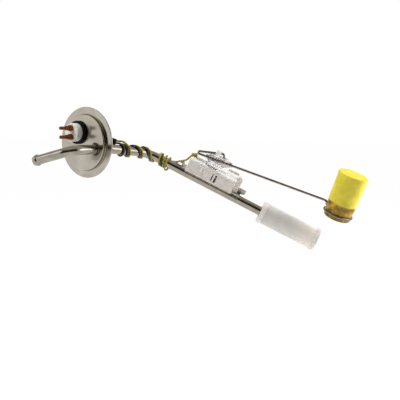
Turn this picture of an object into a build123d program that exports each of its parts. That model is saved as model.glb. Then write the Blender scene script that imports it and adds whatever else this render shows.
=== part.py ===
from build123d import *
import os
from math import cos, hypot, pi, radians, sin, tan

# Fuel level sender for a tank with a round lock ring opening, in millimetres.
# The origin is the centre of the flange's seat, +X points into the tank and +Z is up.
# Behind the flange the pickup tube turns into a slanted mast. Everything on the mast is
# placed in the mast's own frame: s runs along the tube, w across it and h above it.

# Flange plate, one stamped disc with a raised centre
flange_radius = 35.6
sheet = 1.5
plate_radius = 28.0
plate_raise = 3.5
step_blend = 1.0
rim_edge_radius = 0.5
plate_face = -(sheet + plate_raise)

# Pickup tube, drawn steel tube of three eighths of an inch
tube_radius = 4.765
tube_wall = 0.9
tube_fit = 0.05
tube_y = -16.8
tube_z = -6.4
outlet_elbow_x = -36.5
outlet_elbow_radius = 15.0
outlet_turn = 76.0
outlet_droop = 14.5
outlet_length = 44.1
tube_lead = 14.0
lead_bend_radius = 60.0
mast_bend_radius = 28.0
bead_radius = 5.7
bead_width = 3.6
bead_setback = 1.6
collar_radius = 6.7
collar_height = 1.8

# Mast frame, at the corner where the tube turns down into the tank
mast_corner = Vector(68.5, -21.5, -12.3)
mast_heading = -56.0
mast_slope = 27.3
mast_roll = 13.0

# Electrical connector in the plate, with two round pins
connector_y = 6.9
connector_z = 10.1
connector_radius = 9.15
connector_face = -14.7
neck_radius = 7.0
neck_fit = 0.1
boss_radius = 8.6
boss_depth = 5.0
seal_radius = 11.7
seal_height = 3.4
seal_edge = 0.9
seal_fit = 0.05
pin_spacing = 8.8
pin_radius = 1.7
pin_length = 7.7
pin_collar_radius = 3.0
pin_collar_length = 7.5
pin_tail_radius = 1.3
pin_tail = 1.5
pin_tip_chamfer = 0.6

# Lead wires and the sleeve that gathers them behind the connector
wire_radius = 1.0
wire_sides = 8
wire_gap = 0.15
pin_lead = 4.5
wrap_step = 60
sleeve_start = Vector(10.5, 2.5, 7.0)
sleeve_end = Vector(27.5, -13.9, -0.2)
sleeve_big_radius = 4.0
sleeve_small_radius = 3.2
sleeve_margin = 1.5
wire_lift = 2.6

# Where each lead winds round the tube: (angle, length along the tube, lift off the tube).
# 90 degrees is above the tube, 180 its front, 270 below it, 360 behind it, and so on.
signal_wrap = [
    (90, 33.0, wire_lift), (150, 36.6, 0), (270, 41.0, 0), (390, 45.3, 0), (450, 50.0, 0),
    (630, 60.0, 0), (690, 61.4, 0), (810, 63.8, 0), (870, 66.4, 0), (930, 70.4, 0),
    (990, 75.3, 0), (1110, 78.6, 0), (1170, 80.0, 0), (1230, 80.0, 0), (1350, 84.0, 0),
    (1470, 85.8, 0.2), (1530, 87.0, 1.0), (1590, 85.4, 0), (1710, 88.6, 0), (1830, 90.6, 0),
    (1890, 91.2, 0.3), (1950, 88.9, 0), (2010, 89.2, 0), (2070, 91.6, 2.4), (2130, 94.0, 0.6),
]
ground_wrap = [
    (90, 28.6, 0), (150, 29.4, 0), (330, 30.0, 0), (450, 31.8, 0), (570, 35.4, 0), (630, 38.0, 0),
    (750, 42.5, 0), (810, 47.0, 0), (990, 57.0, 0), (1050, 58.2, 0), (1170, 60.4, 0),
    (1230, 63.0, 0), (1290, 66.8, 0), (1350, 71.8, 0), (1410, 75.4, wire_lift),
    (1470, 79.6, wire_lift), (1530, 82.5, 0), (1590, 82.4, 0), (1710, 86.2, 0),
    (1770, 86.9, 1.0),
]

# Bracket on top of the mast
bracket_start = 38.5
bracket_overhang = 10.0
bracket_width = 12.0
bracket_sheet = 1.2
bracket_gap = 0.05
bracket_tab_height = 2.9
bracket_tab_width = 8.0
saddle_length = 6.5
ear_height = 6.0
ear_rise = 1.5
ear_overlap = 4.0
ear_reach = 4.5
bracket_bottom = tube_radius + bracket_gap
bracket_top = bracket_bottom + bracket_sheet

# Housing, a moulded tray with a snap-on cover
housing_start = 43.2
housing_length = 53.8
housing_width = 26.0
housing_wall = 1.6
housing_floor = 2.0
tray_height = 12.2
cover_thickness = 2.2
housing_skew = 6.2
edge_round = 0.6
ledge_height = 3.8
ledge_length = 7.0
front_rib = 58.7
rear_rib = 73.8
rib_width = 2.0
rib_height = 0.9
rib_rear_stop = 3.0
latch_drop = 12.4
latch_gap = 0.05
narrow_slot = 1.2
wide_slot = 2.1
slot_height = 8.0
slot_bottom = 8.2
recess_depth = 0.5
rail_length = 12.5
rail_width = 2.0
rail_height = 2.4
lug_length = 5.6
lug_width = 8.0
lug_height = 17.2
rib_places = [front_rib, rear_rib]
housing_end = housing_start + housing_length
bracket_end = housing_end + bracket_overhang
half_housing = housing_width / 2
tray_floor = bracket_top + housing_floor
tray_top = bracket_top + tray_height
cover_top = tray_top + cover_thickness

# Rivets that hold the tray on the bracket
rivet_radius = 1.2
rivet_fit = 0.05
rivet_head_radius = 1.7
rivet_head_height = 0.75
rivet_side = 4.4
rivet_inset = 5.0

# Resistor card and its terminals
card_gap = 1.4
card_thickness = 1.0
card_hole_radius = 3.7
lug_sheet = 0.8
terminal_width = 5.0
terminal_length = 8.0
barrel_wall = 0.6
barrel_length = 4.6
barrel_slope = 28.0
barrel_lead = 2.4
barrel_lift = 0.8
ground_barrel_length = 2.6
ground_barrel_w = 3.1
ground_barrel_rise = 1.9

# Rotor that carries the float arm and the wiper
pivot_s = 69.0
shaft_radius = 3.0
shaft_fit = 0.05
journal_radius = 2.0
journal_top = 11.8
bearing_wall = 2.0
bearing_height = 3.2
disc_radius = 9.0
disc_thickness = 1.5
disc_lift = 1.2
hub_radius = 6.4
hub_height = 2.2
swing = 80.0
stop_reach = 2.6
stop_width = 2.2
stop_clearance = 0.15
fin_thickness = 2.4
fin_gap = 0.25
post_start = 64.3
post_width = 5.2
post_bottom = 31.6
post_top = 39.6
post_front = 2.6
clip_start = 76.2
clip_length = 5.5
clip_reach = 0.3
clip_wall = 1.4
arm_hole_fit = 0.1
wiper_ring_radius = 5.2
wiper_sheet = 0.6
wiper_width = 3.0
wiper_reach = 9.0
body_clearance = 0.3

# Float arm, one bent steel wire with a ring round the float
arm_radius = 1.2
hairpin_s = 47.6
hairpin_low = 25.1
hairpin_high = 27.9
hairpin_radius = 1.4
arm_end = (74.4, 33.4)
arm_end_corner = (72.2, 37.3)
arm_kink = (182.0, 43.0)
arm_bend_radius = 3.0
ring_radius = 14.8
ring_corners = 7
ring_first_angle = 150.0
ring_corner_angle = 45.0
ring_bend_share = 0.98

# Float, a moulded foam cylinder with a groove for the ring
float_s = 206.6
float_h = 37.7
float_lean = 8.4
float_top_radius = 15.9
float_side_radius = 15.1
float_foot_radius = 14.3
float_height = 44.6
float_boundary = 12.3
float_foot = 5.3
float_top_round = 0.8
float_foot_round = 2.4
groove_half = 1.35
groove_clearance = 0.1

# Strainer on the end of the tube
strainer_gap = 27.6
strainer_overlap = 35.4
strainer_length = 66.8
strainer_radius = 11.4
strainer_wall = 0.7
strainer_collar_radius = 12.3
strainer_collar_length = 4.4
strainer_spigot = 3.0
strainer_fit = 0.05
strainer_round = 0.8
strainer_start = bracket_end + strainer_gap
tube_reach = strainer_start + strainer_overlap


def unit_from(heading, slope):
    """Unit vector at a compass heading about Z, pointing down by slope."""
    return Vector(1, 0, 0).rotate(Axis.Y, slope).rotate(Axis.Z, heading)


def corner_radii(points):
    """Radius at each inner corner of a wire's route, as large as its two runs allow."""
    radii = []
    for before, corner, after in zip(points, points[1:], points[2:]):
        arriving = corner - before
        leaving = after - corner
        half_turn = radians(arriving.get_angle(leaving)) / 2
        shorter = min(arriving.length, leaving.length)
        radii.append(0.45 * shorter / tan(half_turn))
    return radii


mast_axis = unit_from(mast_heading, mast_slope)
level_side = Vector(0, 0, 1).cross(mast_axis).normalized()
level_up = mast_axis.cross(level_side)
mast_up = level_up * cos(radians(mast_roll)) - level_side * sin(radians(mast_roll))
mast = Plane(origin=mast_corner, x_dir=mast_axis, z_dir=mast_up)
mast_section = Plane(origin=mast_corner, x_dir=mast.y_dir, z_dir=mast_axis)


def on_mast(s, w, h):
    """Point in the mast's frame."""
    return mast.from_local_coords(Vector(s, w, h))


def across_mast(w):
    """Plane that holds the along and above directions, w to the side of the tube."""
    return Plane(origin=on_mast(0, w, 0), x_dir=mast_axis, z_dir=-mast.y_dir)


# Routes of the tube
outlet_elbow = Vector(outlet_elbow_x, tube_y, tube_z)
outlet_direction = unit_from(180 - outlet_turn, outlet_droop)
outlet_tip = outlet_elbow + outlet_direction * outlet_length
plate_crossing = Vector(0, tube_y, tube_z)
lead_corner = Vector(tube_lead, tube_y, tube_z)
tube_end = on_mast(tube_reach, 0, 0)

with BuildLine() as tube_route:
    FilletPolyline(
        outlet_tip, outlet_elbow, lead_corner, mast_corner, tube_end,
        radius=[outlet_elbow_radius, lead_bend_radius, mast_bend_radius],
    )

with BuildLine() as inner_route:
    FilletPolyline(
        plate_crossing, lead_corner, mast_corner, tube_end,
        radius=[lead_bend_radius, mast_bend_radius],
    )
inner_line = inner_route.wire()

connector = Plane(origin=(0, connector_y, connector_z), x_dir=(0, 1, 0), z_dir=(1, 0, 0))
tube_seat = Plane(origin=plate_crossing, x_dir=(0, 1, 0), z_dir=(1, 0, 0))


# Flange plate: the section is turned about the X axis
with BuildPart() as flange_plate:
    with BuildSketch(Plane.XY) as flange_section:
        with BuildLine():
            Polyline(
                (0, flange_radius), (-sheet, flange_radius), (-sheet, plate_radius),
                (plate_face, plate_radius), (plate_face, 0), (plate_face + sheet, 0),
                (plate_face + sheet, plate_radius - sheet), (0, plate_radius - sheet),
                close=True,
            )
        make_face()
        rim_corners = flange_section.vertices().group_by(Axis.Y)[-1]
        fillet(rim_corners, radius=rim_edge_radius)
        step_corners = flange_section.vertices().filter_by_position(
            Axis.Y, plate_radius - sheet - 0.1, plate_radius + 0.1
        )
        fillet(step_corners, radius=step_blend)
    revolve(axis=Axis.X)
    with BuildSketch(tube_seat.offset(plate_face)):
        Circle(tube_radius + tube_fit)
    extrude(amount=sheet, mode=Mode.SUBTRACT)
    with BuildSketch(connector.offset(plate_face)):
        Circle(neck_radius + neck_fit)
    extrude(amount=sheet, mode=Mode.SUBTRACT)
flange_plate.part.label = "flange_plate"


# Pickup tube: one tube from the outlet bead to the strainer
outlet_section = Plane(origin=outlet_tip, z_dir=-outlet_direction)
with BuildPart() as pickup_tube:
    with BuildSketch(outlet_section):
        Circle(tube_radius)
        Circle(tube_radius - tube_wall, mode=Mode.SUBTRACT)
    sweep(path=tube_route.wire())
    with BuildSketch(outlet_section.offset(bead_setback)):
        Circle(bead_radius)
        Circle(tube_radius - tube_wall / 2, mode=Mode.SUBTRACT)
    extrude(amount=bead_width)
    bead_edges = (
        pickup_tube.edges().filter_by(GeomType.CIRCLE)
        .filter_by(lambda edge: abs(edge.radius - bead_radius) < 0.01)
    )
    fillet(bead_edges, radius=(bead_radius - tube_radius) * 0.9)
pickup_tube.part.label = "pickup_tube"


# Braze collar where the tube leaves the plate
with BuildPart() as tube_collar:
    with BuildSketch(tube_seat.offset(plate_face - collar_height)):
        Circle(collar_radius)
    extrude(amount=collar_height)
    collar_outer = tube_collar.edges().filter_by(GeomType.CIRCLE).sort_by(Axis.X)[0]
    chamfer(collar_outer, length=collar_height * 0.6, length2=(collar_radius - tube_radius) * 0.6)
    with BuildSketch(tube_seat.offset(plate_face - collar_height)):
        Circle(tube_radius + tube_fit)
    extrude(amount=collar_height, mode=Mode.SUBTRACT)
tube_collar.part.label = "tube_collar"


# Connector body: head outside, neck through the plate, boss inside
seal_face = plate_face - seal_height
neck_end = plate_face + sheet
boss_end = neck_end + boss_depth
pin_places = [(0, -pin_spacing / 2), (0, pin_spacing / 2)]
with BuildPart() as connector_body:
    with BuildSketch(connector.offset(connector_face)):
        Circle(connector_radius)
    extrude(amount=plate_face - connector_face)
    face_edge = connector_body.edges().filter_by(GeomType.CIRCLE).sort_by(Axis.X)[0]
    fillet(face_edge, radius=seal_edge)
    with BuildSketch(connector.offset(plate_face)):
        Circle(neck_radius)
    extrude(amount=sheet)
    with BuildSketch(connector.offset(neck_end)):
        Circle(boss_radius)
    extrude(amount=boss_depth)
    with BuildSketch(connector.offset(connector_face)):
        with Locations(*pin_places):
            Circle(pin_tail_radius + tube_fit)
    extrude(amount=boss_end - connector_face, mode=Mode.SUBTRACT)
connector_body.part.label = "connector_body"


# Rubber seal round the head of the connector
with BuildPart() as connector_seal:
    with BuildSketch(connector.offset(seal_face)):
        Circle(seal_radius)
    extrude(amount=seal_height)
    fillet(connector_seal.edges().filter_by(GeomType.CIRCLE), radius=seal_edge)
    with BuildSketch(connector.offset(seal_face)):
        Circle(connector_radius + seal_fit)
    extrude(amount=seal_height, mode=Mode.SUBTRACT)
connector_seal.part.label = "connector_seal"


def make_pin(place):
    """Contact pin: round tip, thick collar, thin tail through the connector body."""
    axis_plane = Plane(
        origin=connector.from_local_coords(Vector(*place, 0)), x_dir=(0, 1, 0), z_dir=(1, 0, 0)
    )
    collar_front = connector_face - pin_collar_length
    with BuildPart() as pin:
        with BuildSketch(axis_plane.offset(collar_front - pin_length)):
            Circle(pin_radius)
        extrude(amount=pin_length)
        tip_edge = pin.edges().filter_by(GeomType.CIRCLE).sort_by(Axis.X)[0]
        chamfer(tip_edge, length=pin_tip_chamfer)
        with BuildSketch(axis_plane.offset(collar_front)):
            Circle(pin_collar_radius)
        extrude(amount=pin_collar_length)
        collar_edge = (
            pin.edges().filter_by(GeomType.CIRCLE)
            .filter_by(lambda edge: abs(edge.radius - pin_collar_radius) < 0.01)
            .sort_by(Axis.X)[0]
        )
        fillet(collar_edge, radius=(pin_collar_radius - pin_radius) * 0.6)
        with BuildSketch(axis_plane.offset(connector_face)):
            Circle(pin_tail_radius)
        extrude(amount=boss_end + pin_tail - connector_face)
    return pin.part


signal_pin = make_pin(pin_places[1])
signal_pin.label = "signal_pin"
ground_pin = make_pin(pin_places[0])
ground_pin.label = "ground_pin"


# Tapered sleeve over both lead wires
sleeve_axis = (sleeve_end - sleeve_start).normalized()
sleeve_side = Vector(0, 0, 1).cross(sleeve_axis).normalized()
sleeve_plane = Plane(origin=sleeve_start, x_dir=sleeve_side, z_dir=sleeve_axis)
sleeve_length = (sleeve_end - sleeve_start).length
with BuildPart() as wire_sleeve:
    with BuildSketch(sleeve_plane):
        Circle(sleeve_big_radius)
    with BuildSketch(sleeve_plane.offset(sleeve_length)):
        Circle(sleeve_small_radius)
    loft()
    with BuildSketch(sleeve_plane):
        Circle(2 * (wire_radius + wire_gap))
    extrude(amount=sleeve_length, mode=Mode.SUBTRACT)
wire_sleeve.part.label = "wire_sleeve"


def wrap_place(wrap, angle):
    """Length along the tube and lift off it, where a lead that winds round it has an angle."""
    for (angle_a, length_a, lift_a), (angle_b, length_b, lift_b) in zip(wrap, wrap[1:]):
        if angle <= angle_b:
            share = (angle - angle_a) / (angle_b - angle_a)
            return length_a + (length_b - length_a) * share, lift_a + (lift_b - lift_a) * share


def beside_tube(length, angle, reach):
    """Point at a distance from the tube's axis; 90 degrees is above, 180 is the front."""
    centre = inner_line.position_at(length, PositionMode.LENGTH)
    along = inner_line.tangent_at(length, PositionMode.LENGTH)
    side = Vector(0, 0, 1).cross(along).normalized()
    above = along.cross(side)
    return centre + side * (reach * cos(radians(angle))) + above * (reach * sin(radians(angle)))


def wire_points(pin_place, sleeve_offset, wrap, tail):
    """Corners of one lead's route: pin, sleeve, turns round the tube, tail."""
    pin_axis = connector.from_local_coords(Vector(*pin_place, boss_end + pin_tail))
    points = [pin_axis, pin_axis + Vector(pin_lead, 0, 0)]
    for along in (-sleeve_margin, sleeve_length):
        points.append(sleeve_plane.from_local_coords(Vector(0, sleeve_offset, along)))
    reach = (tube_radius + wire_gap + wire_radius) / cos(radians(wrap_step / 2))
    first_angle = wrap[0][0]
    steps = round((wrap[-1][0] - first_angle) / wrap_step)
    for number in range(steps + 1):
        angle = first_angle + wrap_step * number
        length, lift = wrap_place(wrap, angle)
        points.append(beside_tube(length, angle, reach + lift))
    for place in tail:
        points.append(on_mast(*place))
    return points


def make_wire(points, name):
    """Lead wire along its route; prints the radius at every corner."""
    radii = corner_radii(points)
    with BuildLine() as route:
        FilletPolyline(*points, radius=radii)
    start = Plane(origin=points[0], z_dir=points[1] - points[0])
    with BuildPart() as wire:
        with BuildSketch(start) as section:
            RegularPolygon(wire_radius, wire_sides)
        sweep(path=route.wire())
    length = route.wire().length
    print(name, "length", round(length, 1), "radii", [round(radius, 1) for radius in radii])
    print(name, "volume over section times length",
          round(wire.part.volume / (section.sketch.area * length), 4))
    wire.part.label = name
    return wire.part


pair_offset = wire_radius + wire_gap / 2
barrel_start = Vector(
    housing_start + housing_skew / 2 - barrel_lead, 0, cover_top + barrel_lift
)
barrel_way = Vector(cos(radians(barrel_slope)), 0, sin(radians(barrel_slope)))
barrel_bore = barrel_start + barrel_way * (barrel_length / 2)
signal_tail = [
    (28.6, 6.7, 0.6), (30.6, 4.8, 4.0), (33.8, -0.2, 7.8), (37.3, -0.4, 10.5), (40.1, -0.2, 13.2),
    (41.6, 0, 17.2), tuple(barrel_start - barrel_way), tuple(barrel_bore),
]
ground_barrel_h = bracket_top + ground_barrel_rise
ground_barrel_end = bracket_start - lug_sheet - 0.2
ground_tail = [
    (23.2, 9.2, 0.6), (28.0, 9.5, 1.2), (32.4, 7.8, 4.0), (34.0, ground_barrel_w, ground_barrel_h),
    (ground_barrel_end, ground_barrel_w, ground_barrel_h),
]
signal_wire = make_wire(
    wire_points(pin_places[1], pair_offset, signal_wrap, signal_tail), "signal_wire"
)
ground_wire = make_wire(
    wire_points(pin_places[0], -pair_offset, ground_wrap, ground_tail), "ground_wire"
)


# Bracket: strip on top of the tube, end tab, saddle over the tube and a turned-up ear
rivet_places = [
    (s, w)
    for s in (housing_start + housing_skew + rivet_inset, housing_end - rivet_inset)
    for w in (-rivet_side, rivet_side)
]
with BuildPart() as mounting_bracket:
    with BuildSketch(mast.offset(bracket_bottom)):
        with Locations(((bracket_start + bracket_end) / 2, 0)):
            Rectangle(bracket_end - bracket_start, bracket_width)
    extrude(amount=bracket_sheet)
    with BuildSketch(mast.offset(bracket_top)):
        with Locations((bracket_start + bracket_sheet / 2, 0)):
            Rectangle(bracket_sheet, bracket_tab_width)
    extrude(amount=bracket_tab_height)
    with BuildSketch(mast_section.offset(bracket_end - saddle_length)):
        Circle(tube_radius + bracket_gap + bracket_sheet)
        Circle(tube_radius + bracket_gap, mode=Mode.SUBTRACT)
        with Locations((0, -bracket_top)):
            Rectangle(4 * bracket_top, 2 * bracket_top, mode=Mode.SUBTRACT)
    extrude(amount=saddle_length)
    with BuildSketch(across_mast(bracket_width / 2)):
        with BuildLine():
            Polyline(
                (bracket_end, bracket_bottom), (bracket_end + ear_reach, bracket_bottom + ear_rise),
                (bracket_end + ear_reach, bracket_bottom + ear_height),
                (bracket_end - ear_overlap, bracket_bottom + ear_height),
                (bracket_end - ear_overlap, bracket_bottom),
                close=True,
            )
        make_face()
    extrude(amount=bracket_sheet)
    with BuildSketch(mast.offset(bracket_bottom)):
        with Locations(*rivet_places):
            Circle(rivet_radius + rivet_fit)
    extrude(amount=bracket_sheet, mode=Mode.SUBTRACT)
mounting_bracket.part.label = "mounting_bracket"


def housing_outline(inset):
    """Corners of the housing's plan, whose left end is skewed."""
    slope = housing_skew / housing_width
    start = housing_start + inset * hypot(1, slope)
    right = housing_end - inset
    near = inset
    far = housing_width - inset
    return [
        (start + slope * near, near - half_housing), (right, near - half_housing),
        (right, far - half_housing), (start + slope * far, far - half_housing),
    ]


def ledge_outlines():
    """Plans of the two ledges, each along one end wall of the tray."""
    left_near, right_near, right_far, left_far = housing_outline(housing_wall)
    return [
        [left_near, (left_near[0] + ledge_length, left_near[1]),
         (left_far[0] + ledge_length, left_far[1]), left_far],
        [(right_near[0] - ledge_length, right_near[1]), right_near,
         right_far, (right_far[0] - ledge_length, right_far[1])],
    ]


# Tray: open box with ledges for the card, bearing for the rotor, slots beside the latches
with BuildPart() as housing_tray:
    with BuildSketch(mast.offset(bracket_top)):
        with BuildLine():
            Polyline(*housing_outline(0), close=True)
        make_face()
    extrude(amount=tray_height)
    upright_edges = housing_tray.edges().filter_by(
        lambda edge: abs(abs((edge % 0.5).dot(mast_up)) - 1) < 0.001
    )
    fillet(upright_edges, radius=edge_round)
    with BuildSketch(mast.offset(tray_floor)):
        with BuildLine():
            Polyline(*housing_outline(housing_wall), close=True)
        make_face()
    extrude(amount=tray_top - tray_floor, mode=Mode.SUBTRACT)
    for outline in ledge_outlines():
        with BuildSketch(mast.offset(tray_floor)):
            with BuildLine():
                Polyline(*outline, close=True)
            make_face()
        extrude(amount=ledge_height)
    with BuildSketch(mast.offset(tray_floor)):
        with Locations((pivot_s, 0)):
            Circle(journal_radius + shaft_fit + bearing_wall)
            Circle(journal_radius + shaft_fit, mode=Mode.SUBTRACT)
    extrude(amount=bearing_height)
    with BuildSketch(mast.offset(bracket_top)):
        with Locations((housing_end + lug_length / 2, lug_width / 4)):
            Rectangle(lug_length, lug_width)
    extrude(amount=lug_height)
    lug_edges = housing_tray.edges().filter_by(
        lambda edge: abs(abs((edge % 0.5).dot(mast.y_dir)) - 1) < 0.001
        and mast.to_local_coords(edge @ 0.5).X > housing_end - 0.1
        and mast.to_local_coords(edge @ 0.5).Z > bracket_top + lug_height - 0.1
    )
    fillet(lug_edges, radius=lug_length * 0.45)
    with BuildSketch(across_mast(-half_housing - 1)):
        for width, side in ((narrow_slot, -1), (wide_slot, 1)):
            middle = rear_rib + side * (rib_width + width) / 2
            with Locations((middle, slot_bottom + slot_height / 2)):
                Rectangle(width, slot_height)
    extrude(amount=-(housing_wall + 1), mode=Mode.SUBTRACT)
    with BuildSketch(mast.offset(bracket_top)):
        with Locations(*rivet_places):
            Circle(rivet_radius + rivet_fit)
    extrude(amount=housing_floor + ledge_height, mode=Mode.SUBTRACT)
    with BuildSketch(mast.offset(tray_floor)):
        with Locations(*rivet_places):
            Circle(rivet_head_radius + rivet_fit)
    extrude(amount=ledge_height, mode=Mode.SUBTRACT)
housing_tray.part.label = "housing_tray"


# Cover: plate with two ribs that run over its edges and down both sides as latches
with BuildPart() as housing_cover:
    with BuildSketch(mast.offset(tray_top)):
        with BuildLine():
            Polyline(*housing_outline(0), close=True)
        make_face()
    extrude(amount=cover_thickness)
    with BuildSketch(mast.offset(cover_top - recess_depth)):
        with BuildLine():
            Polyline(
                (rib_places[0] + rib_width, 1 - half_housing), (rib_places[1] - rib_width, 1 - half_housing),
                (rib_places[1] - 2 * rib_width, -3), (rib_places[0] + 2 * rib_width, -3),
                close=True,
            )
        make_face()
    extrude(amount=recess_depth, mode=Mode.SUBTRACT)
    with BuildSketch(mast.offset(cover_top)):
        for place in rib_places:
            with Locations((place, -rib_rear_stop / 2)):
                Rectangle(rib_width, housing_width - rib_rear_stop)
        with Locations((housing_end - rail_length / 2, half_housing - rail_width / 2)):
            Rectangle(rail_length, rail_width)
    extrude(amount=rib_height)
    with BuildSketch(mast.offset(cover_top)):
        with Locations((housing_end - rail_length / 2, half_housing - rail_width / 2)):
            Rectangle(rail_length, rail_width)
    extrude(amount=rail_height)
    for side in (-1, 1):
        with BuildSketch(mast.offset(cover_top + rib_height - latch_drop)):
            for place in rib_places:
                with Locations((place, side * (half_housing + latch_gap + rib_height / 2))):
                    Rectangle(rib_width, rib_height)
        extrude(amount=latch_drop)
        with BuildSketch(mast.offset(tray_top)):
            for place in rib_places:
                with Locations((place, side * (half_housing + rib_height / 2))):
                    Rectangle(rib_width, rib_height)
        extrude(amount=cover_thickness + rib_height)
    with BuildSketch(mast.offset(cover_top)):
        with Locations((pivot_s, disc_radius - stop_reach / 2 + 0.3)):
            Rectangle(stop_width, stop_reach)
    extrude(amount=disc_lift + disc_thickness - stop_clearance)
    with BuildSketch(mast.offset(tray_top)):
        with Locations((pivot_s, 0)):
            Circle(shaft_radius + shaft_fit)
    extrude(amount=cover_thickness, mode=Mode.SUBTRACT)
housing_cover.part.label = "housing_cover"


# Rivets: head under the strip, shank, head in the tray
with BuildPart() as bracket_rivets:
    with BuildSketch(mast.offset(bracket_bottom - rivet_head_height)):
        with Locations(*rivet_places):
            Circle(rivet_head_radius)
    extrude(amount=rivet_head_height)
    with BuildSketch(mast.offset(bracket_bottom)):
        with Locations(*rivet_places):
            Circle(rivet_radius)
    extrude(amount=bracket_sheet + housing_floor)
    with BuildSketch(mast.offset(tray_floor)):
        with Locations(*rivet_places):
            Circle(rivet_head_radius)
    extrude(amount=rivet_head_height)
bracket_rivets.part.label = "bracket_rivets"


# Resistor card on the tray's ledges
card_bottom = tray_floor + ledge_height
with BuildPart() as resistor_card:
    with BuildSketch(mast.offset(card_bottom)):
        with BuildLine():
            Polyline(*housing_outline(housing_wall + card_gap), close=True)
        make_face()
        with Locations((pivot_s, 0)):
            Circle(card_hole_radius, mode=Mode.SUBTRACT)
    extrude(amount=card_thickness)
resistor_card.part.label = "resistor_card"


# Signal terminal: flat lug on the cover with a sloping barrel round the wire's end
barrel_plane = Plane(
    origin=on_mast(*barrel_start),
    z_dir=mast_axis * cos(radians(barrel_slope)) + mast_up * sin(radians(barrel_slope)),
)
barrel_end = barrel_start + barrel_way * barrel_length
with BuildPart() as signal_terminal:
    with BuildSketch(mast.offset(cover_top)):
        with Locations((barrel_end.X + terminal_length / 2 - lug_sheet, 0)):
            Rectangle(terminal_length, terminal_width)
    extrude(amount=lug_sheet)
    with BuildSketch(across_mast(terminal_width / 4)):
        with BuildLine():
            Polyline(
                (barrel_end.X - lug_sheet, cover_top), (barrel_end.X + lug_sheet, cover_top),
                (barrel_end.X + lug_sheet, cover_top + lug_sheet), (barrel_end.X, barrel_end.Z),
                (barrel_end.X - lug_sheet, barrel_end.Z - lug_sheet / 2),
                close=True,
            )
        make_face()
    extrude(amount=terminal_width / 2)
    with BuildSketch(barrel_plane):
        Circle(wire_radius + barrel_wall)
    extrude(amount=barrel_length)
    with BuildSketch(barrel_plane):
        Circle(wire_radius + tube_fit)
    extrude(amount=barrel_length / 2 + tube_fit, mode=Mode.SUBTRACT)
signal_terminal.part.label = "signal_terminal"


# Ground terminal: lug flat against the bracket's end tab, with a barrel for the wire
with BuildPart() as ground_terminal:
    with BuildSketch(mast_section.offset(bracket_start - lug_sheet)):
        with Locations((0, bracket_top + bracket_tab_height / 2)):
            Rectangle(bracket_tab_width, bracket_tab_height)
    extrude(amount=lug_sheet)
    with BuildSketch(mast_section.offset(bracket_start - lug_sheet - ground_barrel_length)):
        with Locations((ground_barrel_w, ground_barrel_h)):
            Circle(wire_radius + barrel_wall)
            Circle(wire_radius + tube_fit, mode=Mode.SUBTRACT)
    extrude(amount=ground_barrel_length)
ground_terminal.part.label = "ground_terminal"


# Float arm: end hook, return leg, hairpin, long leg, kink and ring
ring_plane = Plane(
    origin=on_mast(float_s, 0, float_h),
    x_dir=mast_axis * cos(radians(float_lean)) + mast_up * sin(radians(float_lean)),
    z_dir=mast_up * cos(radians(float_lean)) - mast_axis * sin(radians(float_lean)),
)
arm_points = [
    on_mast(arm_end[0], 0, arm_end[1]),
    on_mast(arm_end_corner[0], 0, arm_end_corner[1]),
    on_mast(hairpin_s, 0, hairpin_high),
    on_mast(hairpin_s, 0, hairpin_low),
    on_mast(arm_kink[0], 0, arm_kink[1]),
]
arm_radii = [arm_bend_radius * 0.6, hairpin_radius, hairpin_radius, arm_bend_radius * 4]
ring_corner_reach = ring_radius / cos(radians(ring_corner_angle / 2))
for number in range(ring_corners + 2):
    angle = radians(ring_first_angle + ring_corner_angle * number)
    corner = Vector(ring_corner_reach * cos(angle), ring_corner_reach * sin(angle), 0)
    arm_points.append(ring_plane.from_local_coords(corner))
arm_points[-1] = arm_points[-2] + (arm_points[-1] - arm_points[-2]) * 0.6
arm_radii += [arm_bend_radius, ring_radius * 0.8]
arm_radii += [ring_radius * ring_bend_share] * (ring_corners - 1)
with BuildLine() as arm_route:
    FilletPolyline(*arm_points, radius=arm_radii)
with BuildPart() as float_arm:
    with BuildSketch(Plane(origin=arm_points[0], z_dir=arm_points[1] - arm_points[0])):
        Circle(arm_radius)
    sweep(path=arm_route.wire())
float_arm.part.label = "float_arm"


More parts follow.
